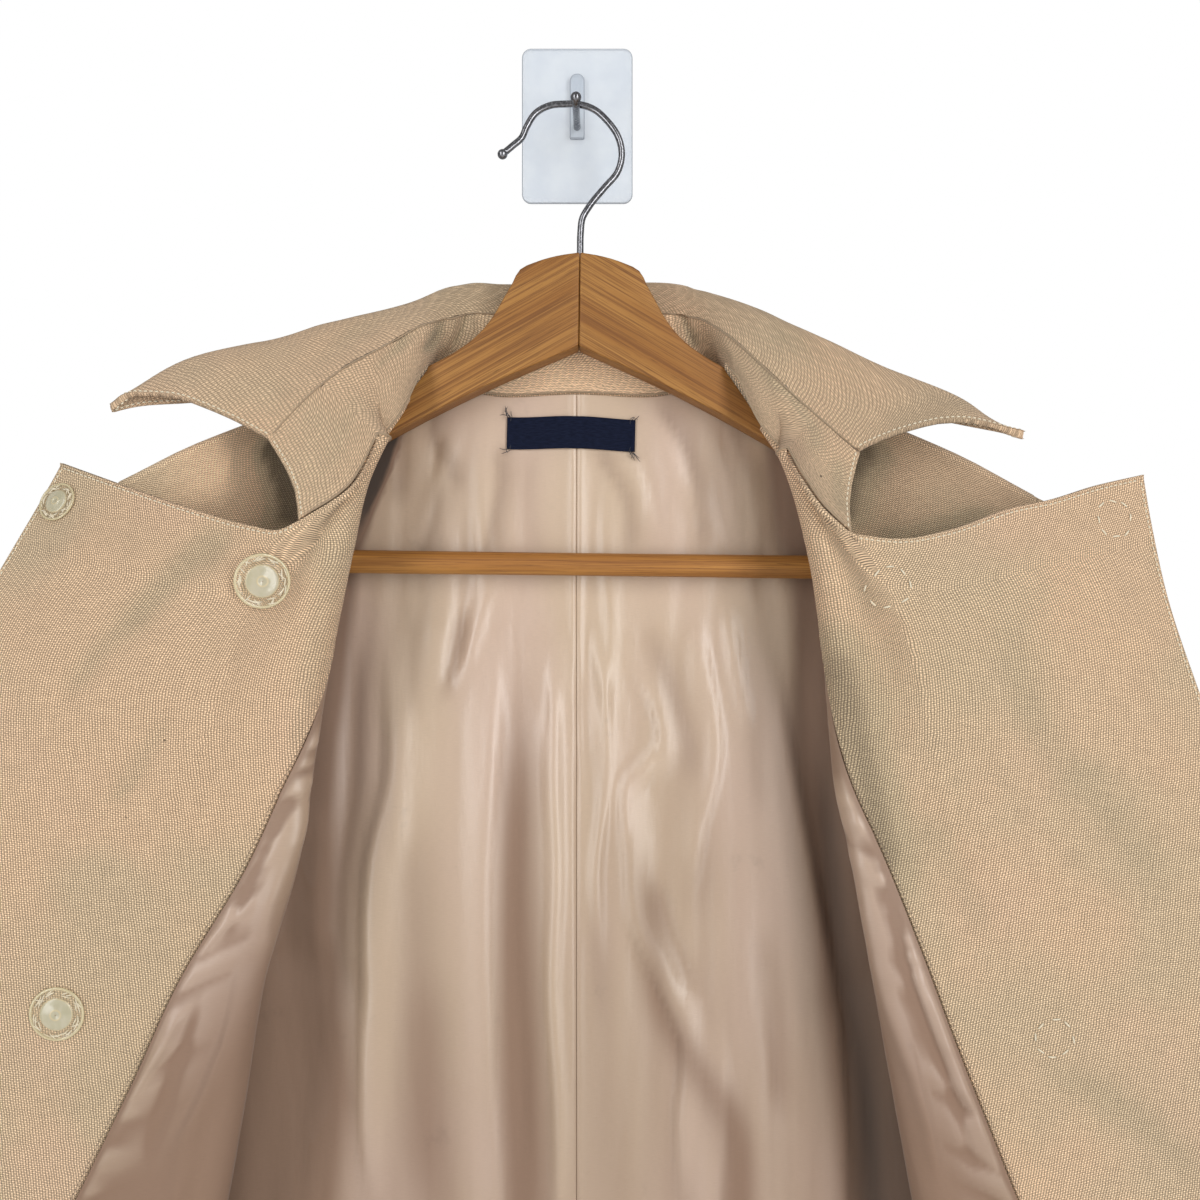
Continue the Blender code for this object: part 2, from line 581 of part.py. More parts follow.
def build_front(side, front):
    """Front, facing and lining strip, all on one set of points."""
    word = "left" if side == LEFT else "right"
    neckline = NECK_START + (REAR_FOLD - NECK_START) * np.array([0, 0.175, 0.35, 0.55, 0.75])
    columns = spread([REAR_FOLD, FRONT_FOLD, GORGE_END, 1], [4, 3, 6])
    columns = np.concatenate([spread([0, SEAM_ALLOWANCE, NECK_START], [2, 2])[:-1], neckline, columns])
    patch = Patch(front.at, *grid(columns, BODY_ROWS), -side)
    cloth("front_" + word, patch, -CANVAS / 2, CANVAS, "canvas")
    beyond_seam = patch.u - front.seam(patch.v)
    cloth("facing_" + word, patch.part(beyond_seam), LAYER, CANVAS, "canvas")
    inside = patch.part(-beyond_seam)
    inside = inside.part(inside.u - SEAM_ALLOWANCE)
    cloth("lining_front_" + word, inside.part(inside.v - LINING_TOP), LAYER, SATIN, "satin")
    return patch


def build_back(back):
    """Back and its lining in two halves, on one set of points."""
    left = spread([0, 0.05, BACK_SHOULDER, 0.336, 0.354, 0.392, 0.5], [2, 4, 1, 1, 1, 2])
    columns = np.concatenate([left, 1 - left[-2::-1]])
    patch = Patch(back.at, *grid(columns, BODY_ROWS), -1)
    cloth("back_canvas", patch, -CANVAS / 2, CANVAS, "canvas")
    lining = patch.part(patch.v - ARCH_ROWS * 0.9)
    lining = lining.part(0.45 - np.abs(lining.u - 0.5))
    cloth("lining_back_left", lining.part(0.5 - LINING_SEAM - lining.u), LAYER, SATIN, "satin")
    cloth("lining_back_right", lining.part(lining.u - 0.5 + LINING_SEAM), LAYER, SATIN, "satin")


def find(surface, x, z, guess):
    """Shares (u, v) at which a surface passes the given place, seen from the front."""
    u, v = guess
    step = 1e-4
    for _ in range(12):
        here = surface(u, v)
        along_u = (surface(u + step, v) - here) / step
        along_v = (surface(u, v + step) - here) / step
        matrix = np.array([[along_u[0], along_v[0]], [along_u[2], along_v[2]]])
        move = np.linalg.lstsq(matrix, np.array([x - here[0], z - here[2]]), rcond=None)[0]
        move = np.clip(move, -0.1, 0.1)
        u = float(np.clip(u + move[0], step, 1 - step))
        v = float(np.clip(v + move[1], step, 1 - 2 * step))
    return u, v


def build_label(back):
    """The neck label, made from the lining's points."""
    columns, rows = np.linspace(-0.5, 0.5, 9), np.linspace(0.5, -0.5, 4)
    u, v = np.zeros((4, 9)), np.zeros((4, 9))
    for i, up in enumerate(rows):
        for j, along in enumerate(columns):
            dx, dz = along * LABEL_WIDTH, up * LABEL_HEIGHT
            x = LABEL_MIDDLE[0] + dx * math.cos(LABEL_TILT) + dz * math.sin(LABEL_TILT)
            z = LABEL_MIDDLE[1] - dx * math.sin(LABEL_TILT) + dz * math.cos(LABEL_TILT)
            u[i, j], v[i, j] = find(back.at, x, z, (0.5, 0.06))
    cloth("label", Patch(back.at, u, v, -1), LAYER + SATIN + GAP, LABEL, "navy")


def turned(name, profile, steps, finish):
    """A turned solid about Z from (radius, height) rows that start and end on the axis."""
    vertices, faces = [], []
    rings = []
    for radius, height in profile:
        if radius == 0:
            rings.append([len(vertices)])
            vertices.append((0, 0, height))
            continue
        ring = []
        for k in range(steps):
            angle = 2 * math.pi * k / steps
            ring.append(len(vertices))
            vertices.append((radius * math.cos(angle), radius * math.sin(angle), height))
        rings.append(ring)
    for a, b in zip(rings, rings[1:]):
        for k in range(steps):
            m = (k + 1) % steps
            if len(a) == 1:
                faces.append((a[0], b[k], b[m]))
            elif len(b) == 1:
                faces.append((a[k], b[0], a[m]))
            else:
                faces.append((a[k], b[k], b[m], a[m]))
    return add_object(name, vertices, faces, finish)


def swell(patch, here, out, radius):
    """How far a panel stands out, along out, above the place under a disc of the radius."""
    tree = BVHTree.FromPolygons([tuple(p) for p in patch.points], patch.faces)
    first = np.cross(out, [0.0, 0.0, 1.0])
    first /= np.linalg.norm(first)
    second = np.cross(out, first)
    heights = []
    for angle in np.linspace(0, 2 * math.pi, 12, endpoint=False):
        for reach in (radius / 3, radius * 2 / 3, radius):
            spot = here + reach * (math.cos(angle) * first + math.sin(angle) * second)
            hit = tree.ray_cast(Vector(spot + out * radius), Vector(-out), 2 * radius)[0]
            if hit:
                heights.append(float(np.dot(np.array(hit) - here, out)))
    return max(heights)


def build_snaps(side, front, patch):
    """Press snaps, on the inner face of the left front and the outer face of the right."""
    word = "left" if side == LEFT else "right"
    lift = LAYER + CANVAS + GAP if side == LEFT else LAYER
    for number, (x, z, width) in enumerate(FRONTS[side]["snaps"], 1):
        u, v = find(front.at, x * MM, z * MM, (0.7, 0.2))
        here = front.at(u, v)
        out = normals(front.at, np.array(u), np.array(v))
        r = width / 2
        profile = [(0, 0), (r, 0), (r, 0.7 * MM), (0.78 * r, 1.5 * MM), (0.52 * r, 0.9 * MM),
                   (0.30 * r, 1.9 * MM), (0, 2.4 * MM)]
        snap = turned(f"snap_{word}_{number}", profile, 14, "snap")
        snap.location = Vector(here + out * (lift + swell(patch, here, out, r) + SNAP_REST))
        snap.rotation_euler = Vector(out).to_track_quat("Z", "Y").to_euler()


def build_collar(fronts):
    collar = Collar(fronts)
    half = spread(COLLAR_STOPS, COLLAR_STEPS) / COLLAR_STOPS[-1] / 2
    across = np.concatenate([0.5 - half[::-1], 0.5 + half[1:]])
    patch = Patch(collar.stand, *grid(across, np.linspace(0, 1, 2)))
    cloth("collar_stand", patch, -STAND_CLOTH / 2, STAND_CLOTH, "canvas")
    rows = np.array([0, 0.2, 0.32, 0.4, 0.52, 0.76, 1])
    patch = Patch(collar.fall, *grid(across, rows))
    cloth("collar_fall", patch, -FALL_CLOTH / 2, FALL_CLOTH, "canvas")


def build_sleeve(side):
    """Top sleeve towards the viewer and under sleeve towards the wall, with two seams."""
    word = "left" if side == LEFT else "right"
    places = grid(np.linspace(0, 1, 10), np.linspace(0, 1, 14))
    for half, face in (("top", -1), ("under", 1)):
        patch = Patch(Sleeve(side, face).at, *places)
        cloth(f"sleeve_{half}_{word}", patch, -CANVAS / 2, CANVAS, "canvas")


def extrude_outline(name, outline, back, front, finish, edge):
    """A plate from a closed outline (across, level) between two depths, edges rounded."""
    count = len(outline)
    vertices = [(x, back, z) for x, z in outline] + [(x, front, z) for x, z in outline]
    faces = [tuple(range(count)), tuple(range(2 * count - 1, count - 1, -1))]
    for k in range(count):
        m = (k + 1) % count
        faces.append((k, m, m + count, k + count))
    piece = add_object(name, vertices, faces, finish)
    bevel = piece.modifiers.new("edges", "BEVEL")
    bevel.width = edge
    bevel.segments = 2
    bevel.limit_method = "ANGLE"
    bevel.angle_limit = math.radians(50)
    return piece


def cutter(name, radius, depth, location, axis):
    mesh = bpy.data.meshes.new(name)
    work = bmesh.new()
    bmesh.ops.create_cone(work, cap_ends=True, segments=24, radius1=radius, radius2=radius, depth=depth)
    work.to_mesh(mesh)
    work.free()
    tool = bpy.data.objects.new(name, mesh)
    tool.location = location
    tool.rotation_euler = Vector(axis).to_track_quat("Z", "Y").to_euler()
    tool.hide_render = True
    tool.display_type = "WIRE"
    bpy.context.scene.collection.objects.link(tool)
    return tool


def cut(piece, tool):
    step = piece.modifiers.new(tool.name, "BOOLEAN")
    step.operation = "DIFFERENCE"
    step.object = tool


def build_hanger():
    """Two arms that meet at a mitre, the trouser bar between them, and the steel hook."""
    frame = bpy.data.objects.new("hanger_frame", None)
    bpy.context.scene.collection.objects.link(frame)
    frame.location = (HANGER_MIDDLE, HANGER_OFF, HANGER_TOP)
    frame.rotation_euler = (0, HANGER_TILT, 0)
    hook_hole = cutter("hook_hole", WIRE / 2 + GAP, 2 * (HOOK_DEPTH + GAP), (0, 0, 0), (0, 0, 1))
    hook_hole.parent = frame
    for side, word in ((LEFT, "left"), (RIGHT, "right")):
        outline = [(x * MM, z * MM) for x, z in ARM_TOP] + [(x * MM, z * MM) for x, z in ARM_LOW[::-1]]
        outline = [(side * max(x, GAP / 2), z) for x, z in outline]
        arm = extrude_outline("hanger_arm_" + word, outline, WOOD / 2, -WOOD / 2, "wood", WOOD_EDGE)
        arm.parent = frame
        hole = cutter("bar_hole_" + word, BAR_HOLE / 2, 2 * (BAR_REACH - 180 * MM) + 2 * GAP,
                      (side * 180 * MM, 0, BAR_LEVEL), (1, 0, 0))
        hole.parent = frame
        cut(arm, hole)
        cut(arm, hook_hole)
    bar = turned("hanger_bar", [(0, -BAR_REACH), (BAR_WIDTH / 2, -BAR_REACH),
                                (BAR_WIDTH / 2, 0), (BAR_WIDTH / 2, BAR_REACH), (0, BAR_REACH)],
                 20, "wood")
    bar.parent = frame
    bar.location = (0, 0, BAR_LEVEL)
    bar.rotation_euler = (0, math.pi / 2, 0)


def tube(name, points, width, finish, sides=10):
    """A round bar along a line of points, with flat ends."""
    points = np.array(points)
    along = np.gradient(points, axis=0)
    along /= np.linalg.norm(along, axis=1, keepdims=True)
    side = np.array([0.0, 1.0, 0.0]) if abs(along[0][1]) < 0.7 else np.array([1.0, 0.0, 0.0])
    vertices, faces = [], []
    for point, ahead in zip(points, along):
        first = side - ahead * np.dot(side, ahead)
        first /= np.linalg.norm(first)
        second = np.cross(ahead, first)
        for k in range(sides):
            angle = 2 * math.pi * k / sides
            vertices.append(point + width / 2 * (math.cos(angle) * first + math.sin(angle) * second))
    for i in range(len(points) - 1):
        for k in range(sides):
            m = (k + 1) % sides
            faces.append((i * sides + k, i * sides + m, (i + 1) * sides + m, (i + 1) * sides + k))
    end = (len(points) - 1) * sides
    faces.append(tuple(range(sides))[::-1])
    faces.append(tuple(range(end, end + sides)))
    return add_object(name, vertices, faces, finish)


def add_ball(name, centre, width):
    mesh = bpy.data.meshes.new(name)
    work = bmesh.new()
    bmesh.ops.create_uvsphere(work, u_segments=14, v_segments=9, radius=width / 2)
    work.to_mesh(mesh)
    work.free()
    ball = bpy.data.objects.new(name, mesh)
    ball.location = centre
    ball.hide_render = True
    ball.display_type = "WIRE"
    bpy.context.scene.collection.objects.link(ball)
    return ball


def join_ball(piece, centre, width):
    """Fuse a ball to the end of a bar."""
    step = piece.modifiers.new("ball", "BOOLEAN")
    step.operation = "UNION"
    step.object = add_ball(piece.name + "_ball", centre, width)


def build_hooks():
    line = Line([(x, -28, z) for x, z in HOOK_LINE])
    points = line.at(np.linspace(0, 1, 34))
    foot = np.array([HANGER_MIDDLE, HANGER_OFF, HANGER_TOP - HOOK_DEPTH])
    points = np.concatenate([points, foot[None]])
    hook = tube("hanger_hook", points, WIRE, "steel")
    join_ball(hook, Vector(points[0]), 1.5 * WIRE)

    seat = 1.6 * MM - WIRE / 2 - GAP - WALL_HOOK_WIRE / 2
    root = -PLATE_THICK - BOSS_THICK - GAP
    lie = HANGER_OFF - 7 * MM
    rows = [(0, root / MM, seat / MM), (0, -12, seat / MM), (0, -20, seat / MM),
            (0, lie / MM, seat / MM), (0, lie / MM - 3, seat / MM + 1.0), (0, lie / MM - 4.2, seat / MM + 3)]
    points = Line(rows).at(np.linspace(0, 1, 12))
    arm = tube("wall_hook", points, WALL_HOOK_WIRE, "steel")
    join_ball(arm, Vector(points[-1]), BALL)


def build_plate():
    """The clear wall plate with its raised boss, one piece."""
    outline = []
    for cx, cz, start in ((1, 1, 0), (-1, 1, 90), (-1, -1, 180), (1, -1, 270)):
        for k in range(6):
            angle = math.radians(start + 90 * k / 5)
            outline.append((cx * (PLATE_WIDTH / 2 - PLATE_CORNER) + PLATE_CORNER * math.cos(angle),
                            cz * (PLATE_HEIGHT / 2 - PLATE_CORNER) + PLATE_CORNER * math.sin(angle)))
    plate = extrude_outline("wall_plate", outline, 0, -PLATE_THICK, "clear", 0.6 * MM)
    arch = [(BOSS_WIDTH / 2, BOSS_LOW), (BOSS_WIDTH / 2, BOSS_TOP - BOSS_WIDTH / 2)]
    arch += [(BOSS_WIDTH / 2 * math.cos(math.radians(a)),
              BOSS_TOP - BOSS_WIDTH / 2 + BOSS_WIDTH / 2 * math.sin(math.radians(a)))
             for a in range(30, 180, 30)]
    arch += [(-BOSS_WIDTH / 2, BOSS_TOP - BOSS_WIDTH / 2), (-BOSS_WIDTH / 2, BOSS_LOW)]
    boss = extrude_outline("plate_boss", arch, -PLATE_THICK / 2, -PLATE_THICK - BOSS_THICK, "clear",
                           0.5 * MM)
    boss.hide_render = True
    boss.display_type = "WIRE"
    step = plate.modifiers.new("boss", "BOOLEAN")
    step.operation = "UNION"
    step.object = boss


def build():
    for item in list(bpy.data.objects):
        bpy.data.objects.remove(item)
    build_plate()
    build_hooks()
    build_hanger()
    back = Back()
    build_back(back)
    build_label(back)
    fronts = {side: Front(side) for side in (LEFT, RIGHT)}
    for side, front in fronts.items():
        patch = build_front(side, front)
        build_snaps(side, front, patch)
        build_sleeve(side)
    build_collar(fronts)


build()
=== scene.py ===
"""Looks of the open canvas jacket on its wooden hanger and small wall hook.

The first half repeats the part's own sizes and surfaces, so that each fine panel lies
on its solid. Tables are in millimetres, everything else in metres.
"""
import math

import bmesh
import bpy
import numpy as np
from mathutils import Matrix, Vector


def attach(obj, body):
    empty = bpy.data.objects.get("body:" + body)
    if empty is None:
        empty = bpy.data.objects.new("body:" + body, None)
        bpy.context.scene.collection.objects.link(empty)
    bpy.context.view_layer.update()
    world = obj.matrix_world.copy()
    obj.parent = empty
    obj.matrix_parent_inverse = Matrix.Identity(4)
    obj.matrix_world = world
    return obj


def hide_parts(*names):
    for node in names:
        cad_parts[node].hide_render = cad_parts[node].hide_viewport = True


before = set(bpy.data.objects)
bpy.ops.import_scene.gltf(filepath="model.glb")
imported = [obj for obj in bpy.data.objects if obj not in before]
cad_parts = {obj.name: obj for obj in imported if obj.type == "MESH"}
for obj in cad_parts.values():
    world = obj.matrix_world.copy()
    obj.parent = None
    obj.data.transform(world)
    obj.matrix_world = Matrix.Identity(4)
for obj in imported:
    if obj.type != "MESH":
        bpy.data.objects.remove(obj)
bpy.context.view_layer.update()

MM = 0.001
GAP = 0.3 * MM
LEFT, RIGHT = -1, 1
WORD = {LEFT: "left", RIGHT: "right"}
NEAR = 1e-6

# Cloth walls
CANVAS = 1.2 * MM
SATIN = 1.0 * MM
STAND_CLOTH = 2.0 * MM
FALL_CLOTH = 2.2 * MM

# Wall plate and hook
PLATE_WIDTH, PLATE_HEIGHT, PLATE_THICK = 60 * MM, 84 * MM, 2.5 * MM
PLATE_CORNER = 5 * MM
BOSS_WIDTH, BOSS_TOP, BOSS_LOW, BOSS_THICK = 8 * MM, 27 * MM, -8 * MM, 3.5 * MM
WALL_HOOK_WIRE = 3.8 * MM
BALL = 5.6 * MM
WIRE = 3.5 * MM

# Hanger
HANGER_MIDDLE = 2 * MM
HANGER_TOP = -78 * MM
HANGER_OFF = -28 * MM
HANGER_TILT = math.radians(0.7)
WOOD = 18 * MM
BAR_WIDTH, BAR_LEVEL, BAR_REACH = 12 * MM, -160.5 * MM, 207 * MM
HOOK_DEPTH = 14 * MM

# Body of the jacket
SHOULDER_REACH, SHOULDER_LEVEL, SHOULDER_DROP = 238 * MM, -196 * MM, 7 * MM
UNDERARM_REACH, UNDERARM_LEVEL, UNDERARM_OFF = 228 * MM, -400 * MM, -24 * MM
HEM_REACH, HEM_LEVEL = 232 * MM, -765 * MM
ARMHOLE_HALF = 10 * MM
BACK_OFF = -15 * MM
FRONT_OFF = -39.5 * MM
SIDE_CURL = 24 * MM
SEAM_ARCH = 5 * MM
NECK_ARCH = 2 * MM
ARCH_ROWS = 0.02
ARM_ROWS = 0.36
TOP_FADE, NECK_FADE = 0.35, 0.10
FOLD_TIGHT, FOLD_SOFT, FOLD_OPENS = 3.5 * MM, 10 * MM, 0.12
REAR_FOLD, FRONT_FOLD = 0.30, 0.42
FOLD_SET, RISE_START = 2 * MM, 0.17
NECK_SHARE, GORGE_SHARE = 0.38, 0.22
NECK_START = REAR_FOLD * (1 - NECK_SHARE)
GORGE_END = FRONT_FOLD + (1 - FRONT_FOLD) * GORGE_SHARE
BACK_SHOULDER = 0.32
BACK_WAVE, BACK_WAVES, WAVE_START, WAVE_FULL = 2.5 * MM, 5, 0.15, 0.65
FLAP_BULGE, BULGE_STARTS, FLAP_SWEEP = 6 * MM, 0.1, 1.5

# Seams, linings and collar
SEAM_ALLOWANCE = 0.10
LINING_TOP = 0.11
SLEEVE_GAP = 0.8 * MM
LAYER = CANVAS / 2 + GAP
LINING_SEAM = 0.0001
# Start of the stand over the neckline, in millimetres, at each station from the back
STAND_LIFT = [-1.0, -1.0, -1.2, -1.5, -1.5, -1.8, -4.0, -3.5, 0.2, 0.2]
BACK_STATIONS = (1, 0.6, 0.32, 0.14, 0)
FALL_SEAM = -0.8 * MM
ROLL_AT = 0.36
END_FROM, END_TURN = 0.86, 3.5

# Snaps and label
SNAP_SMALL, SNAP_LARGE = 20 * MM, 26 * MM
LABEL_MIDDLE = (-3 * MM, -169.5 * MM)
LABEL_WIDTH, LABEL_HEIGHT = 68 * MM, 17 * MM
LABEL_TILT = math.radians(1.3)

# Lines of the jacket: across, off the wall, level
SHOULDER_SEAM = [(-238, -28, -196), (-203, -28, -179), (-173, -28, -167), (-76, -28, -134)]
BACK_NECK = [(-76, -28, -134), (-75.5, -22, -132.5), (-73, -16.5, -133.5), (-68, -15, -139),
             (-53, -15, -145), (0, -15, -146)]

FRONTS = {
    LEFT: {
        "neck": [(-76, -28, -134), (-79, -41, -138), (-83, -49, -149), (-89, -59, -164)],
        "fold": [(-91, -68, -176), (-102, -72, -202), (-107, -74, -231), (-117, -74, -281),
                 (-127, -73, -339), (-135, -72, -386), (-152, -70, -444), (-161, -68, -499),
                 (-169, -66, -543), (-190, -62, -650), (-212, -58, -768)],
        "gorge": [(-107, -84, -203), (-130, -90, -220)],
        "lapel": [(-130, -90, -220), (-139, -90, -224), (-152, -89, -222), (-184, -82, -213),
                  (-223, -70, -200), (-255, -58, -189)],
        "edge": [(-255, -58, -189), (-263, -60, -206), (-281, -68, -244), (-325, -78, -325),
                 (-372, -83, -416), (-410, -80, -500), (-440, -74, -590), (-455, -66, -672)],
        "seam_start": -295 * MM,
        "seam_lean": 0.2865,
        "snaps": [(-253, -210, SNAP_SMALL), (-146, -248, SNAP_LARGE), (-245, -453, SNAP_LARGE),
                  (-352, -416, SNAP_LARGE)],
    },
    RIGHT: {
        "neck": [(76, -28, -134), (80, -41, -138), (86, -49, -151), (94, -59, -170)],
        "fold": [(99, -68, -183), (106, -70, -200), (113, -74, -233), (120, -74, -281),
                 (127, -73, -350), (135, -72, -384), (143, -71, -425), (151, -69, -472),
                 (160, -67, -520), (166, -66, -552), (188, -62, -655), (210, -58, -775)],
        "gorge": [(109, -83, -198), (118, -88, -213), (131, -90, -226)],
        "lapel": [(131, -90, -226), (156, -89, -228), (177, -86, -224), (209, -78, -213),
                  (232, -72, -208), (255, -66, -201), (281, -60, -195)],
        "edge": [(281, -60, -195), (284, -63, -223), (289, -68, -257), (303, -74, -306),
                 (325, -78, -370), (350, -82, -432), (378, -80, -510), (400, -74, -590),
                 (412, -66, -682)],
        "seam_start": -292 * MM,
        "seam_lean": 0.205,
        "snaps": [(263, -218, SNAP_LARGE), (148, -251, SNAP_LARGE), (228, -465, SNAP_LARGE),
                  (330, -425, SNAP_LARGE)],
    },
}

# Collar, from the back neck out to the tip, one place for each of STAND_LIFT
COLLAR = {
    LEFT: {
        "stand_high": [(0, -16, -104), (-43, -16.5, -105), (-55, -18.5, -105), (-62, -22, -107),
                       (-68, -27, -110), (-80, -40, -117), (-96, -50, -129), (-115, -62, -143),
                       (-132, -71, -160), (-148, -77, -180)],
        "roll": [(0, -13, -90), (-37, -14, -90), (-53, -17, -90), (-62, -20, -92), (-70, -24, -95),
                 (-86, -32, -104), (-110, -42, -112), (-145, -52, -126), (-183, -61, -138),
                 (-205, -72, -159)],
        "free": [(0, -6, -148), (-40, -7, -146), (-72, -11, -138), (-86, -15, -135), (-100, -21, -133),
                 (-126, -38, -140), (-150, -47, -151), (-185, -55, -158), (-213, -62, -161),
                 (-231, -68, -164)],
    },
    RIGHT: {
        "stand_high": [(0, -16, -104), (43, -16.5, -105), (56, -18.5, -106), (62, -22, -108),
                       (68, -27, -111), (80, -40, -123), (93, -50, -138), (110, -60, -157),
                       (125, -69, -173), (138, -77, -186)],
        "roll": [(0, -13, -90), (38, -14, -89), (55, -17, -91), (62, -20, -94), (70, -24, -97),
                 (88, -32, -105), (114, -42, -119), (146, -52, -139), (178, -60, -156),
                 (182, -74, -172)],
        "free": [(0, -6, -148), (40, -7, -146), (72, -11, -138), (86, -15, -136), (100, -21, -135),
                 (124, -38, -146), (148, -48, -160), (182, -57, -168), (207, -64, -174),
                 (224, -68, -177)],
    },
}

# Sleeve rings, left one: outer seam across and level, inner seam, middle and half depth
SLEEVE = [
    # outer x, z, inner x, z, middle y, half y
    (-238, -196, -228, -400, -26, 10),
    (-256, -208, -233, -404, -28, 14),
    (-280, -243, -237, -412, -32, 19),
    (-300, -300, -240, -424, -35, 22),
    (-316, -375, -241, -442, -37, 23),
    (-326, -470, -243, -500, -37, 22),
    (-333, -600, -247, -610, -36, 20),
    (-340, -790, -255, -795, -34, 18),
]

# Hanger arm, below the head's top: reach from the middle, then level
ARM_TOP = [(0, 0), (12, -2), (22, -5), (31, -9.5), (35, -17), (39, -24), (44, -33), (52, -43),
           (62, -51), (79, -60.5), (98, -70), (120, -79), (150, -90.5), (175, -100.5), (192, -108),
           (203, -113), (209, -126), (210, -150)]
ARM_LOW = [(0, -48), (51, -71), (101, -97.5), (140, -121), (170, -142), (186, -158),
           (196, -172), (206, -170)]

# Hanger hook's middle line: across and level
HOOK_LINE = [(-38.5, -24.6), (-33, -20), (-28.5, -16), (-26, -10.5), (-21, -3), (-13.5, 0.9),
             (-6, 1.6), (0, 1.6), (9, -1.1), (16.5, -7.7), (22, -16.1), (23.7, -24.5),
             (21.5, -33.8), (14.6, -42.1), (7, -51.4), (3.2, -58), (2.2, -66), (2, -76)]


def hermite(a, b, leave, arrive, s):
    return ((1 + 2 * s) * (1 - s) ** 2 * a + s * s * (3 - 2 * s) * b
            + s * (1 - s) ** 2 * leave + s * s * (s - 1) * arrive)


class Line:
    """A smooth line through a table's points, at(0) to at(1) by length."""

    def __init__(self, rows):
        self.points = np.array(rows, float) * MM
        steps = np.linalg.norm(np.diff(self.points, axis=0), axis=1)
        self.knots = np.concatenate([[0.0], np.cumsum(steps)]) / steps.sum()
        self.slopes = np.gradient(self.points, self.knots, axis=0)

    def at(self, t):
        t = np.clip(np.asarray(t, float), 0, 1)
        k = np.clip(np.searchsorted(self.knots, t, side="right") - 1, 0, len(self.knots) - 2)
        width = (self.knots[k + 1] - self.knots[k])[..., None]
        s = (t - self.knots[k])[..., None] / width
        return hermite(self.points[k], self.points[k + 1], self.slopes[k] * width,
                       self.slopes[k + 1] * width, s)


def flat_line(rows, count, off=0):
    """Places along a table of across and level, at one distance off the wall."""
    return Line([(x, off, z) for x, z in rows]).at(np.linspace(0, 1, count))


def ease(s):
    s = np.clip(s, 0, 1)
    return s * s * (3 - 2 * s)


def mix(a, b, s):
    return a + (b - a) * s


def stack(x, y, z):
    return np.stack(np.broadcast_arrays(x, y, z), axis=-1)


def flip(rows, drop=0):
    """The same line on the other side, lower at its outer end by drop millimetres."""
    reaches = [abs(x) for x, _, _ in rows]
    near, far = min(reaches), max(reaches)
    return [(-x, y, z - drop * (abs(x) - near) / (far - near)) for x, y, z in rows]


def normals(surface, u, v, step=1e-3):
    """Unit normals of a surface, du x dv."""
    du = surface(np.clip(u + step, 0, 1), v) - surface(np.clip(u - step, 0, 1), v)
    dv = surface(u, np.clip(v + step, 0, 1)) - surface(u, np.clip(v - step, 0, 1))
    n = np.cross(du, dv)
    return n / np.linalg.norm(n, axis=-1, keepdims=True)


def side_line(side, v, face):
    """Armhole and side seam; face is -1 on the front's edge and 1 on the back's."""
    a = np.clip(v / ARM_ROWS, 0, 1)
    b = np.clip((v - ARM_ROWS) / (1 - ARM_ROWS), 0, 1)
    reach = mix(mix(SHOULDER_REACH, UNDERARM_REACH, a), HEM_REACH, b) - GAP
    level = mix(mix(SHOULDER_LEVEL, UNDERARM_LEVEL, a), HEM_LEVEL, b)
    level = level - (SHOULDER_DROP if side == RIGHT else 0)
    middle = mix(HANGER_OFF, UNDERARM_OFF, a)
    half = ARMHOLE_HALF * np.sqrt(np.clip(1 - (2 * a - 1) ** 2, 0, 1))
    rim = CANVAS / 2 + GAP / 2
    return stack(side * reach, middle + face * np.maximum(half, rim), level)


def arched(base, u, v, top, first, landing_y, arch, length):
    """A panel drawn to its top seam, with a rounded arch over its first rows."""
    landing = stack(top[..., 0], landing_y, top[..., 2] - arch)
    fade = np.clip(1 - (v - ARCH_ROWS) / length, 0, 1) ** 2
    body = base(u, np.maximum(v, ARCH_ROWS)) + fade[..., None] * (landing - first)
    angle = np.clip(v / ARCH_ROWS, 0, 1) * math.pi / 2
    head = stack(top[..., 0], mix(top[..., 1], landing_y, np.sin(angle)),
                 top[..., 2] - arch * (1 - np.cos(angle)))
    return np.where((v < ARCH_ROWS)[..., None], head, body)


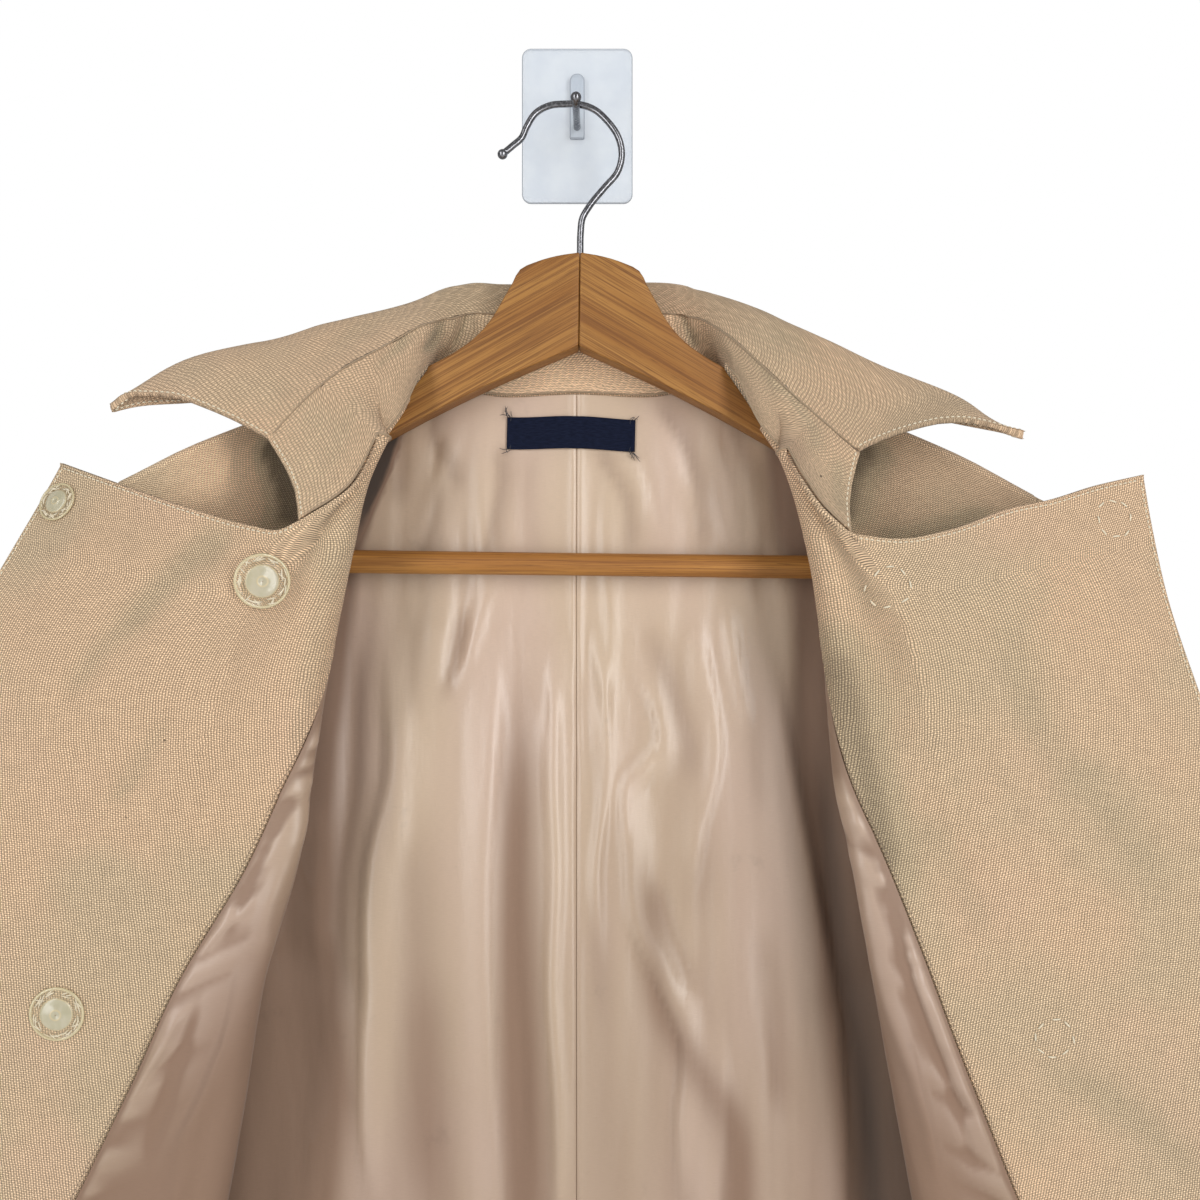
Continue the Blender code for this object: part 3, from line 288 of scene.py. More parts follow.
class Front:
    """One front: from the side seam inward, round the fold, and out to the front edge."""

    def __init__(self, side):
        rows = FRONTS[side]
        self.side = side
        self.shoulder = Line(SHOULDER_SEAM if side == LEFT else flip(SHOULDER_SEAM, SHOULDER_DROP / MM))
        self.fold, self.edge, self.lapel = Line(rows["fold"]), Line(rows["edge"]), Line(rows["lapel"])
        zero = np.array(0.0)
        rear = tuple(self.base(np.array(REAR_FOLD), zero) / MM)
        fore = tuple(self.base(np.array(FRONT_FOLD), zero) / MM)
        self.neck, self.gorge = Line(rows["neck"] + [rear]), Line([fore] + rows["gorge"])
        self.seam_start, self.seam_lean = rows["seam_start"], rows["seam_lean"]

    def radius(self, v):
        return mix(FOLD_TIGHT, FOLD_SOFT, ease(v / FOLD_OPENS))

    def base(self, u, v):
        side, r = self.side, self.radius(v)
        seam, fold, edge = side_line(side, v, -1), self.fold.at(v), self.edge.at(v)
        middle = fold[..., 0] + side * (r + FOLD_SET)
        hidden = np.clip(u / REAR_FOLD, 0, 1)
        across = mix(seam[..., 0], middle, hidden)
        curl = np.clip(np.abs(across - seam[..., 0]) / SIDE_CURL, 0, 1)
        rise = ease((hidden - RISE_START) / (1 - RISE_START))
        off = mix(mix(seam[..., 1], FRONT_OFF, ease(curl)), fold[..., 1] + r, rise)
        turn = np.clip((u - REAR_FOLD) / (FRONT_FOLD - REAR_FOLD), 0, 1) * math.pi
        bend_x = middle - side * r * np.sin(turn)
        bend_y = fold[..., 1] + r * np.cos(turn)
        flap = np.clip((u - FRONT_FOLD) / (1 - FRONT_FOLD), 0, 1)
        flap_x = mix(middle, edge[..., 0], flap)
        bulge = FLAP_BULGE * np.sin(math.pi * flap) * ease(v / BULGE_STARTS)
        flap_y = mix(fold[..., 1] - r, edge[..., 1], flap ** FLAP_SWEEP) - bulge
        x = np.where(u < REAR_FOLD, across, np.where(u < FRONT_FOLD, bend_x, flap_x))
        y = np.where(u < REAR_FOLD, off, np.where(u < FRONT_FOLD, bend_y, flap_y))
        z = mix(mix(seam[..., 2], fold[..., 2], hidden), edge[..., 2], flap)
        return stack(x, y, z)

    def top(self, u):
        hidden = np.clip(u / REAR_FOLD, 0, 1)
        flap = np.clip((u - FRONT_FOLD) / (1 - FRONT_FOLD), 0, 1)
        shoulder = self.shoulder.at(hidden / (1 - NECK_SHARE))
        neck = self.neck.at((hidden - 1 + NECK_SHARE) / NECK_SHARE)
        gorge = self.gorge.at(flap / GORGE_SHARE)
        lapel = self.lapel.at((flap - GORGE_SHARE) / (1 - GORGE_SHARE))
        rear = np.where((hidden < 1 - NECK_SHARE)[..., None], shoulder, neck)
        fore = np.where((flap < GORGE_SHARE)[..., None], gorge, lapel)
        bend = self.base(u, np.zeros_like(u))
        line = np.where((u < REAR_FOLD)[..., None], rear, bend)
        line = np.where((u > FRONT_FOLD)[..., None], fore, line)
        seam_gap = np.where(hidden < 1 - NECK_SHARE + NEAR, GAP, 0)
        return line - stack(0, seam_gap, 0)

    def at(self, u, v):
        u, v = np.broadcast_arrays(np.asarray(u, float), np.asarray(v, float))
        top, first = self.top(u), self.base(u, np.full_like(u, ARCH_ROWS))
        over_arm = np.clip((top[..., 1] - FRONT_OFF) / (HANGER_OFF - FRONT_OFF), 0, 1)
        over_arm = np.where(u < REAR_FOLD, over_arm, 0)
        arch = mix(NECK_ARCH, SEAM_ARCH, over_arm)
        behind = np.minimum(np.maximum(first[..., 1], FRONT_OFF), top[..., 1])
        landing_y = np.where(u < REAR_FOLD, behind, top[..., 1])
        length = np.interp(u, [NECK_START, REAR_FOLD, FRONT_FOLD, GORGE_END],
                           [TOP_FADE, NECK_FADE, NECK_FADE, TOP_FADE])
        return arched(self.base, u, v, top, first, landing_y, arch, length)

    def seam(self, v):
        """Where the facing ends, as a share of the panel's width."""
        r, fold, edge = self.radius(v), self.fold.at(v), self.edge.at(v)
        along = self.seam_lean * (self.seam_start - fold[..., 2])
        quarter = r * math.pi / 2
        width = np.linalg.norm(edge - fold, axis=-1)
        rear_width = np.abs(side_line(self.side, v, -1)[..., 0] - fold[..., 0])
        middle = (REAR_FOLD + FRONT_FOLD) / 2
        half = (FRONT_FOLD - REAR_FOLD) / 2
        bend = middle + half * along / quarter
        flap = FRONT_FOLD + (1 - FRONT_FOLD) * (along - quarter) / width
        rear = REAR_FOLD + REAR_FOLD * (along + quarter) / rear_width
        return np.where(along > quarter, flap, np.where(along < -quarter, rear, bend))


class Back:
    """The back, from the left side seam to the right one."""

    def __init__(self):
        self.left, self.right = Line(SHOULDER_SEAM), Line(flip(SHOULDER_SEAM, SHOULDER_DROP / MM))
        self.neck_left, self.neck_right = Line(BACK_NECK), Line(flip(BACK_NECK))

    def base(self, u, v):
        left, right = side_line(LEFT, v, 1), side_line(RIGHT, v, 1)
        x = mix(left[..., 0], right[..., 0], u)
        z = mix(left[..., 2], right[..., 2], u)
        near = np.minimum(x - left[..., 0], right[..., 0] - x)
        wave = (BACK_WAVE * ease((v - WAVE_START) / (WAVE_FULL - WAVE_START))
                * np.cos(2 * math.pi * BACK_WAVES * u))
        middle = BACK_OFF + wave * ease(near / (3 * SIDE_CURL))
        return stack(x, mix(left[..., 1], middle, ease(near / SIDE_CURL)), z)

    def top(self, u):
        share = 0.5 - BACK_SHOULDER
        line = self.left.at(u / BACK_SHOULDER)
        line = np.where((u > BACK_SHOULDER)[..., None],
                        self.neck_left.at((u - BACK_SHOULDER) / share), line)
        line = np.where((u > 0.5)[..., None], self.neck_right.at((1 - BACK_SHOULDER - u) / share), line)
        line = np.where((u > 1 - BACK_SHOULDER)[..., None], self.right.at((1 - u) / BACK_SHOULDER), line)
        seam_gap = np.where(np.abs(u - 0.5) > share - NEAR, GAP, 0)
        return line + stack(0, seam_gap, 0)

    def at(self, u, v):
        u, v = np.broadcast_arrays(np.asarray(u, float), np.asarray(v, float))
        top, first = self.top(u), self.base(u, np.full_like(u, ARCH_ROWS))
        over_arm = np.clip((BACK_OFF - top[..., 1]) / (BACK_OFF - HANGER_OFF), 0, 1)
        arch = mix(NECK_ARCH, SEAM_ARCH, over_arm)
        landing_y = np.maximum(first[..., 1], top[..., 1])
        return arched(self.base, u, v, top, first, landing_y, arch, TOP_FADE)


class Collar:
    """Stand and fall as one run from the left notch round the back neck to the right one."""

    def __init__(self, fronts):
        self.fronts = fronts
        self.back = {LEFT: Line(BACK_NECK), RIGHT: Line(flip(BACK_NECK))}
        self.high, self.roll, self.free = self.rows("stand_high"), self.rows("roll"), self.rows("free")
        middle = NECK_START + (REAR_FOLD - NECK_START) * np.array([0, 0.35, 0.75])
        gorge = FRONT_FOLD + (GORGE_END - FRONT_FOLD) * np.array([0.4, 1])
        self.front_shares = [*middle, (REAR_FOLD + FRONT_FOLD) / 2, *gorge]

    @staticmethod
    def rows(name):
        return np.array(COLLAR[LEFT][name][::-1] + COLLAR[RIGHT][name][1:], float) * MM

    def neckline(self, u):
        """Places on the jacket's own neckline, and how high the stand starts over them."""
        station = np.abs(2 * u - 1) * (len(STAND_LIFT) - 1)
        last = len(BACK_STATIONS) - 1
        behind = np.interp(station, range(last + 1), BACK_STATIONS)
        before = np.interp(station, range(last, len(STAND_LIFT)), self.front_shares)
        sides = [np.where((station < last)[..., None], self.back[side].at(behind),
                          self.fronts[side].top(before)) for side in WORD]
        line = np.where((u < 0.5)[..., None], *sides)
        lift = np.interp(station, range(len(STAND_LIFT)), STAND_LIFT) * MM
        return line - np.array([0, CANVAS / 2 + GAP / 2, 0]), lift[..., None]

    @staticmethod
    def through(rows, t):
        line = Line(rows / MM)
        line.knots = np.linspace(0, 1, len(rows))
        line.slopes = np.gradient(line.points, line.knots, axis=0)
        return line.at(t)

    def stand(self, u, w):
        """u from the left end to the right, w from the neckline up."""
        low, lift = self.neckline(np.asarray(u, float))
        high = self.through(self.high, u)
        rise = high - low
        low = low + rise / np.linalg.norm(rise, axis=-1, keepdims=True) * lift
        return mix(low, high, np.asarray(w)[..., None])

    def fall(self, u, w):
        """w from the seam over the roll and down to the free edge."""
        seam, roll = self.through(self.high, u), self.through(self.roll, u)
        free = self.through(self.free, u)
        rise = roll - seam
        seam = seam + rise / np.linalg.norm(rise, axis=-1, keepdims=True) * FALL_SEAM
        w = np.asarray(w)[..., None]
        lean = (free - seam) * 0.55 + (roll - mix(seam, free, ROLL_AT)) * 0.5
        up = np.clip(w / ROLL_AT, 0, 1)
        down = np.clip((w - ROLL_AT) / (1 - ROLL_AT), 0, 1)
        onward = END_TURN * (self.stand(u, 1.0) - self.stand(u, 0.9))
        end = ease((np.abs(2 * np.asarray(u) - 1) - END_FROM) / (1 - END_FROM))[..., None]
        leave = mix((roll - seam) * 1.1, (roll - seam) * 0.6 + onward, end)
        front = hermite(seam, roll, leave, lean * 0.45, up)
        back = hermite(roll, free, lean * 0.9, free - roll, down)
        return np.where(w < ROLL_AT, front, back)


class Sleeve:
    """Half a sleeve between its outer and inner seams, bowed out to face."""

    def __init__(self, side, face):
        self.side, self.face = side, face
        self.table = np.array(SLEEVE, float) * MM
        self.knots = np.linspace(0, 1, len(SLEEVE))
        self.slopes = np.gradient(self.table, self.knots, axis=0)

    def row(self, v):
        spans = len(SLEEVE) - 1
        k = np.clip((v * spans).astype(int), 0, spans - 1)
        s = ((v - self.knots[k]) * spans)[..., None]
        return hermite(self.table[k], self.table[k + 1], self.slopes[k] / spans,
                       self.slopes[k + 1] / spans, s)

    def at(self, u, v):
        """u from the outer seam to the inner one, v from the shoulder to the cuff."""
        u, v = np.broadcast_arrays(np.asarray(u, float), np.asarray(v, float))
        outer_x, outer_z, inner_x, inner_z, middle, half = np.moveaxis(self.row(v), -1, 0)
        angle = mix(GAP / half, math.pi - GAP / half, u)
        share = (1 - np.cos(angle)) / 2
        drop = SHOULDER_DROP if self.side == RIGHT else 0
        x = mix(outer_x, inner_x, share) - SLEEVE_GAP
        z = mix(outer_z, inner_z, share) - drop
        return stack(-self.side * x, middle + self.face * half * np.sin(angle), z)


# Fine panels

# Rounding of a wall's rim, as a share of its thickness, its rings and those on its middle
RIM_ROUND, RIM_ANGLES, RIM_MIDDLE = 0.4, (-60, -25, 25, 60), 30

# Creases: a line across and level in millimetres, half width, rise towards the inside face,
# and, where the two sides differ, the half width on the line's right as it goes down
FLAP_CREASES = {
    LEFT: [
        ([(-152, -209), (-191, -249), (-226, -287), (-250, -318)], 10, -2.4),
        ([(-185, -305), (-208, -338), (-224, -362)], 8, -1.6),
        ([(-205, -262), (-240, -322), (-282, -362)], 9, 1.2),
        ([(-163, -296), (-196, -372), (-212, -420)], 14, 1.4),
        ([(-178, -452), (-215, -486), (-262, -512)], 8, -1.2),
        ([(-160, -215), (-171, -262), (-168, -300)], 7, -0.9),
        ([(-232, -208), (-247, -246), (-262, -270)], 9, 1.0),
        ([(-205, -560), (-260, -590), (-330, -600)], 12, -2.2),
        ([(-300, -400), (-330, -470), (-350, -540)], 11, -1.8),
        ([(-236, -640), (-300, -650), (-380, -640)], 14, 2.0),
        ([(-196, -330), (-214, -348), (-241, -356)], 1.8, -0.45),
        ([(-170, -330), (-186, -352), (-192, -384)], 2.0, -0.4),
        ([(-214, -402), (-236, -412), (-262, -408)], 2.2, -0.45),
    ],
    RIGHT: [
        ([(196, -246), (205, -272), (223, -325), (258, -362), (296, -418)], 15, -1.8),
        ([(232, -335), (258, -341), (279, -345), (303, -358)], 2.2, -0.7),
        ([(276, -342), (289, -335), (303, -330)], 2.2, -0.6),
        ([(180, -280), (198, -341), (203, -392)], 12, 1.2),
        ([(146, -262), (150, -280), (148, -300), (138, -320)], 10, -0.9),
        ([(164, -350), (186, -394), (201, -428)], 9, -1.6),
        ([(238, -392), (243, -438), (257, -446)], 2.0, -0.5),
        ([(247, -228), (262, -262), (290, -290)], 10, 1.2),
        ([(208, -470), (262, -500), (330, -560)], 12, -2.0),
        ([(214, -560), (290, -600), (360, -620)], 14, 2.2),
        ([(320, -420), (350, -480), (372, -560)], 10, -1.8),
        ([(152, -300), (158, -318), (150, -338)], 2.0, -0.5),
        ([(168, -232), (190, -240), (206, -252)], 2.2, -0.4),
    ],
}
HIDDEN_CREASES = {
    LEFT: [
        ([(-232, -420), (-205, -380), (-186, -330)], 9, 1.8),
        ([(-234, -440), (-190, -470), (-165, -520)], 10, -2.0),
        ([(-236, -600), (-218, -660), (-214, -730)], 12, 2.2),
    ],
    RIGHT: [
        ([(230, -425), (204, -390), (188, -330)], 9, 1.8),
        ([(232, -450), (190, -490), (168, -530)], 10, -2.0),
        ([(234, -610), (214, -670), (212, -735)], 12, 2.2),
    ],
}
BACK_CREASES = [
    ([(-226, -408), (-180, -380), (-120, -372)], 9, -2.2),
    ([(224, -416), (170, -392), (118, -388)], 9, -2.0),
    ([(-222, -430), (-170, -440), (-96, -470)], 11, 1.8),
    ([(222, -436), (176, -452), (110, -476)], 10, 1.6),
    ([(-150, -190), (-100, -212), (-30, -222)], 8, -1.2),
    ([(160, -200), (96, -216), (30, -228)], 8, -1.1),
    ([(-140, -500), (-128, -610), (-150, -760)], 16, -2.4),
    ([(-40, -470), (-52, -600), (-30, -764)], 18, 2.2),
    ([(64, -480), (72, -620), (52, -770)], 15, -2.2),
    ([(160, -520), (150, -640), (172, -770)], 16, 2.2),
]
LINING_FOLDS = [
    # above the bar
    ([(-52, -166), (-52, -177), (-47, -230), (-44, -246), (-52, -273), (-66, -318)], 5, 2.8, 2.5),
    ([(-60, -205), (-60, -254), (-70, -300)], 4, -1.8),
    ([(-66, -152), (-70, -166), (-78, -200)], 3.5, -1.4),
    ([(-56, -158), (-66, -178), (-79, -210), (-84, -232)], 4.5, 2.2, 2.2),
    ([(-34, -188), (-37, -214), (-30, -236)], 2.2, 1.3, 4.5),
    ([(13, -196), (15, -230), (18, -262), (14, -330)], 3, 2.0, 5),
    ([(13, -176), (26, -186), (33, -204), (31, -220)], 2.6, 1.9),
    ([(42, -158), (48, -187), (62, -207), (82, -233)], 2.5, 2.6, 6),
    ([(30, -172), (41, -196), (46, -226)], 2.4, -1.3),
    ([(66, -166), (78, -190), (84, -226)], 2.5, 1.8, 5),
    ([(91, -176), (95, -230), (90, -246), (97, -270)], 4, 2.6, 3),
    ([(99, -192), (104, -236), (110, -262)], 3, 1.6),
    # below it, from the left
    ([(-112, -256), (-118, -300), (-120, -353), (-128, -417), (-124, -480)], 6, -3.0),
    ([(-98, -256), (-98, -311), (-97, -345), (-108, -400), (-109, -461), (-110, -530), (-100, -600)],
     3.5, 4.6, 15),
    ([(-90, -300), (-93, -353), (-96, -400)], 3, 1.6, 7),
    ([(-62, -262), (-64, -284), (-72, -306)], 2.2, -1.8, 6),
    ([(-74, -440), (-78, -520), (-70, -620)], 16, -1.6),
    ([(-44, -256), (-44, -330), (-48, -400), (-47, -474), (-42, -560), (-38, -680)], 14, 4.2, 2.8),
    ([(-28, -270), (-31, -350), (-34, -430), (-30, -510), (-26, -600)], 6, -2.4),
    ([(-8, -262), (-12, -330), (-10, -400), (-12, -461), (-8, -530), (-9, -640)], 4.5, 3.6, 4),
    # right of the centre seam
    ([(6, -262), (14, -300), (16, -352), (10, -400), (12, -450)], 4, 2.4, 3),
    ([(26, -258), (27, -285), (42, -318), (44, -333), (26, -352), (27, -390), (30, -428),
      (46, -462), (58, -492), (55, -530), (60, -600)], 2.6, 4.2, 10),
    ([(34, -300), (42, -336), (38, -366)], 2.0, -1.6),
    ([(40, -400), (52, -440), (66, -470)], 5, -2.4),
    ([(62, -262), (70, -300), (74, -335), (66, -380), (62, -420)], 9, 3.2, 2.6),
    ([(78, -256), (84, -290), (92, -330)], 4, 2.2, 2.5),
    ([(76, -470), (78, -520), (72, -600), (70, -680)], 10, 3.0, 3),
    ([(94, -256), (100, -285), (107, -320), (114, -357), (124, -410), (134, -460), (140, -520),
      (142, -600), (148, -720)], 16, 5.0, 3.5),
    ([(108, -262), (118, -300), (128, -353), (138, -417), (148, -480), (156, -547), (158, -700)],
     8, -3.0),
    ([(96, -420), (102, -470), (110, -540)], 7, -1.8),
    ([(-150, -300), (-164, -420), (-170, -600)], 9, 2.4),
    ([(172, -320), (182, -450), (188, -620)], 9, 2.4),
]
STRIP_FOLDS = {
    LEFT: [
        ([(-131, -335), (-141, -362), (-154, -390), (-168, -424)], 2.6, -1.9),
        ([(-126, -338), (-138, -378), (-149, -410), (-152, -440)], 3, 2.4),
        ([(-150, -398), (-166, -412), (-186, -430)], 2.4, 1.8),
        ([(-158, -420), (-162, -450), (-176, -490), (-196, -530)], 2.6, 2.6, 7),
        ([(-176, -440), (-190, -480), (-206, -530)], 3.5, -2.0),
        ([(-180, -500), (-196, -560), (-220, -640)], 6, 2.4),
        ([(-186, -450), (-200, -476), (-216, -500)], 2.4, 1.8),
    ],
    RIGHT: [
        ([(136, -352), (146, -374), (158, -432), (182, -496), (194, -540)], 2.6, -2.0),
        ([(131, -350), (140, -390), (150, -440), (168, -500), (180, -560)], 3, 2.6),
        ([(148, -366), (160, -400), (172, -430)], 2.6, 1.9),
        ([(158, -420), (172, -462), (188, -500)], 2.4, 2.0, 5),
        ([(170, -440), (182, -476), (200, -520)], 3, 1.8),
        ([(186, -560), (204, -620), (214, -690)], 6, 2.2),
    ],
}
STAND_CREASES = [
    ([(-58, -104), (-60, -112), (-66, -124)], 1.8, -1.4),
    ([(-63, -104), (-66, -114), (-72, -128)], 1.8, 1.2),
    ([(-69, -107), (-72, -118), (-79, -132)], 1.9, -1.5),
    ([(-76, -112), (-80, -124), (-88, -138)], 2.2, 1.0),
    ([(-84, -118), (-92, -132), (-104, -146)], 2.6, -0.9),
    ([(40, -98), (42, -108), (46, -122)], 1.8, -1.5),
    ([(46, -98), (50, -110), (56, -124)], 1.9, 1.2),
    ([(52, -100), (58, -112), (66, -126)], 2.0, -1.4),
    ([(66, -112), (74, -126), (84, -140)], 2.6, -0.8),
    ([(100, -150), (108, -166), (116, -184)], 3.0, 0.7),
]
FALL_CREASES = [
    ([(-84, -104), (-110, -120), (-140, -150), (-160, -176)], 9, -1.6),
    ([(-150, -132), (-176, -146), (-196, -160)], 7, 1.0),
    ([(-120, -112), (-136, -140), (-142, -180)], 8, 1.2),
    ([(92, -112), (116, -130), (140, -168)], 9, -1.4),
    ([(150, -150), (172, -160), (200, -170)], 7, 1.0),
    ([(120, -124), (132, -156), (136, -196)], 8, 1.1),
]


def crease_height(creases, points):
    """Height of a table of creases over a grid of points, seen from the front."""
    x, z = points[..., 0], points[..., 2]
    total = np.zeros_like(x)
    for rows, half_width, rise, *other in creases:
        line = flat_line(rows, 5 * len(rows))[:, [0, 2]]
        nearest, share, wide = np.full_like(x, np.inf), np.zeros_like(x), np.ones_like(x)
        for k in range(len(line) - 1):
            a, step = line[k], line[k + 1] - line[k]
            t = np.clip(((x - a[0]) * step[0] + (z - a[1]) * step[1]) / np.dot(step, step), 0, 1)
            away = np.hypot(x - a[0] - t * step[0], z - a[1] - t * step[1])
            closer = away < nearest
            nearest = np.where(closer, away, nearest)
            right = (x - a[0]) * step[1] - (z - a[1]) * step[0] < 0
            wide = np.where(closer, np.where(right, other[0] if other else half_width, half_width), wide)
            share = np.where(closer, (k + t) / (len(line) - 1), share)
        ends = ease(np.minimum(share, 1 - share) * 4)
        total += rise * MM * ends * np.exp(-(nearest / (wide * MM)) ** 2)
    return total


def spread(stops, counts):
    parts = [np.linspace(a, b, n, endpoint=False) for a, b, n in zip(stops, stops[1:], counts)]
    return np.concatenate(parts + [[stops[-1]]])


def grid(us, vs):
    v, u = np.meshgrid(np.asarray(vs, float), np.asarray(us, float), indexing="ij")
    return u, v


def lengths(points, axis):
    """Running length along one axis of a grid of points."""
    steps = np.linalg.norm(np.diff(points, axis=axis), axis=-1)
    start = np.zeros_like(np.take(steps, [0], axis=axis))
    return np.concatenate([start, np.cumsum(steps, axis=axis)], axis=axis)


def unit(a):
    return a / np.maximum(np.linalg.norm(a, axis=-1, keepdims=True), 1e-12)


def flat_place(points, start, tilt=0.0, scale=1.0):
    """Flat coordinates in metres: across by length from a start column, along by level."""
    drop = np.diff(points[..., 2], axis=1)
    run = np.sqrt(np.maximum(np.sum(np.diff(points, axis=1) ** 2, axis=-1) - drop ** 2, 0))
    sign = np.sign(points[0, -1, 0] - points[0, 0, 0]) or 1.0
    across = np.concatenate([np.zeros((len(points), 1)), np.cumsum(run, axis=1)], axis=1) * sign
    across = across - across[:, [start]] + points[:, [start], 0]
    along = points[..., 2]
    c, s = math.cos(tilt), math.sin(tilt)
    return np.stack([across * c - along * s, across * s + along * c], axis=-1) * scale


def place_in_scene(name, data):
    piece = bpy.data.objects.new(name, data)
    bpy.context.scene.collection.objects.link(piece)
    return piece


def new_mesh(name, vertices, quads, uv=None, values=None):
    mesh = bpy.data.meshes.new(name)
    mesh.vertices.add(len(vertices))
    mesh.vertices.foreach_set("co", np.asarray(vertices, np.float32).ravel())
    quads = np.asarray(quads, np.int32)
    mesh.loops.add(quads.size)
    mesh.loops.foreach_set("vertex_index", quads.ravel())
    mesh.polygons.add(len(quads))
    mesh.polygons.foreach_set("loop_start", np.arange(len(quads), dtype=np.int32) * quads.shape[1])
    mesh.update(calc_edges=True)
    if uv is not None:
        layer = mesh.uv_layers.new(name="cloth")
        layer.uv.foreach_set("vector", np.asarray(uv, np.float32)[quads.ravel()].ravel())
    # The hollow attribute: painted shade and light on cloth, the clear share on snaps
    if values is not None:
        held = mesh.attributes.new("hollow", "FLOAT", "POINT")
        held.data.foreach_set("value", np.asarray(values, np.float32).ravel())
    mesh.shade_smooth()
    mesh.validate()
    return place_in_scene(name, mesh)


def circle(sides):
    angles = 2 * math.pi * np.arange(sides)[:, None] / sides
    return np.cos(angles), np.sin(angles)


def tube_faces(rings, sides, start=0):
    """Faces of a tube of rings, whose vertices are counted from start."""
    ring = start + np.arange(rings * sides).reshape(rings, sides)
    onward = np.roll(ring, -1, axis=1)
    return np.stack([ring[:-1], onward[:-1], onward[1:], ring[1:]], axis=-1).reshape(-1, 4)


def perimeter(rows, columns):
    top = [(0, j) for j in range(columns - 1)]
    right = [(i, columns - 1) for i in range(rows - 1)]
    low = [(rows - 1, j) for j in range(columns - 1, 0, -1)]
    left = [(i, 0) for i in range(rows - 1, 0, -1)]
    return np.array(top + right + low + left)


def wall(name, points, across, low, high, uv, values=None, split=0.0):
    """A cloth wall with rounded rims on a grid of points, from low to high off them."""
    rows, columns = points.shape[:2]
    low = np.broadcast_to(np.asarray(low, float), (rows, columns))[..., None]
    high = np.broadcast_to(np.asarray(high, float), (rows, columns))[..., None]
    ring = perimeter(rows, columns)
    i, j = ring[:, 0], ring[:, 1]
    ii, jj = np.clip(i, 1, rows - 2), np.clip(j, 1, columns - 2)
    outward = np.zeros((len(ring), 3))
    outward += np.where((i != ii)[:, None], unit(points[i, j] - points[ii, j]), 0)
    outward += np.where((j != jj)[:, None], unit(points[i, j] - points[i, jj]), 0)
    outward = unit(outward)
    thick = (high - low)[i, j]
    base = points.copy()
    base[i, j] -= outward * thick * RIM_ROUND
    inner, outer = base + across * low, base + across * high
    middle = points[i, j] + across[i, j] * (low + high)[i, j] / 2
    rings = []
    for k, angle in enumerate(RIM_ANGLES):
        c, s = math.cos(math.radians(angle)), math.sin(math.radians(angle))
        notch = split if abs(angle) < RIM_MIDDLE else 0.0
        rings.append(middle + across[i, j] * thick / 2 * s
                     - outward * (thick * RIM_ROUND * (1 - c) + notch))
    total = rows * columns
    index = np.arange(total).reshape(rows, columns)
    quads = np.stack([index[:-1, :-1], index[:-1, 1:], index[1:, 1:], index[1:, :-1]],
                     axis=-1).reshape(-1, 4)
    faces = [quads, quads[:, ::-1] + total]
    edge = index[i, j]
    bands = [edge] + [2 * total + k * len(ring) + np.arange(len(ring)) for k in range(len(rings))]
    bands.append(edge + total)
    for a, b in zip(bands, bands[1:]):
        faces.append(np.stack([a, b, np.roll(b, -1), np.roll(a, -1)], axis=-1))
    vertices = np.concatenate([inner.reshape(-1, 3), outer.reshape(-1, 3)] + rings)
    flat = uv.reshape(-1, 2)
    flat = np.concatenate([flat, flat] + [flat[edge]] * len(rings))
    if values is not None:
        values = values.ravel()
        values = np.concatenate([values, values] + [values[edge]] * len(rings))
    faces = np.concatenate(faces)
    normal = np.cross(points[1, 0] - points[0, 0], points[0, 1] - points[0, 0])
    if np.dot(normal, across[0, 0]) < 0:
        faces = faces[:, ::-1]
    return new_mesh(name, vertices, faces, flat, values)


class Panel:
    """A panel's creased middle surface, on which its layers and stitches lie."""

    def __init__(self, surface, facing, rise):
        self.surface, self.facing, self.rise = surface, facing, rise

    def points(self, u, v):
        base = self.surface(u, v)
        across = normals(self.surface, u, v) * self.facing
        lift = self.rise(u, v, base)
        return base + across * lift[..., None], across, lift


# Rings of a stitch: place along its length, share of its width, rise
STITCH_RINGS = [(-0.5, 0.25, -0.6), (-0.36, 0.85, 0.1), (0.0, 1.0, 0.45), (0.36, 0.85, 0.1),
                (0.5, 0.25, -0.6)]
STITCH_SIDES = 6


def stitch_mesh(name, places, ahead, out, length, thick):
    """Small round-ended threads at places, along ahead, their tops facing out."""
    places, ahead, out = np.asarray(places), unit(np.asarray(ahead)), np.asarray(out)
    side = unit(np.cross(ahead, out))
    out = np.cross(side, ahead)
    c, s = circle(STITCH_SIDES)
    section = side[:, None] * c + out[:, None] * s
    rings = [(places + ahead * along * length + out * lift * thick / 2)[:, None]
             + section * wide * thick / 2 for along, wide, lift in STITCH_RINGS]
    vertices = np.concatenate(rings, axis=1)
    last = (len(STITCH_RINGS) - 1) * STITCH_SIDES
    caps = [(0, 3, 2, 1), (0, 5, 4, 3), (last, last + 1, last + 2, last + 3),
            (last, last + 3, last + 4, last + 5)]
    local = np.concatenate([tube_faces(len(STITCH_RINGS), STITCH_SIDES), caps])
    starts = np.arange(len(places))[:, None, None] * vertices.shape[1]
    return new_mesh(name, vertices.reshape(-1, 3), (local[None] + starts).reshape(-1, 4))


def run_stitches(name, line, out, length, gap, thick, seed):
    """Stitches along a line of points, a little uneven."""
    steps = lengths(line, 0)
    count = max(int(steps[-1] / (length + gap)), 1)
    chance = np.random.default_rng(seed)
    at = (np.arange(count) + 0.5) * (length + gap) + chance.uniform(-0.12, 0.12, count) * gap

    def read(rows, places):
        return np.stack([np.interp(places, steps, rows[:, k]) for k in range(3)], axis=1)

    ahead = read(line, at + gap) - read(line, at - gap)
    return stitch_mesh(name, read(line, at), ahead, unit(read(out, at)), length, thick)


# Finishes

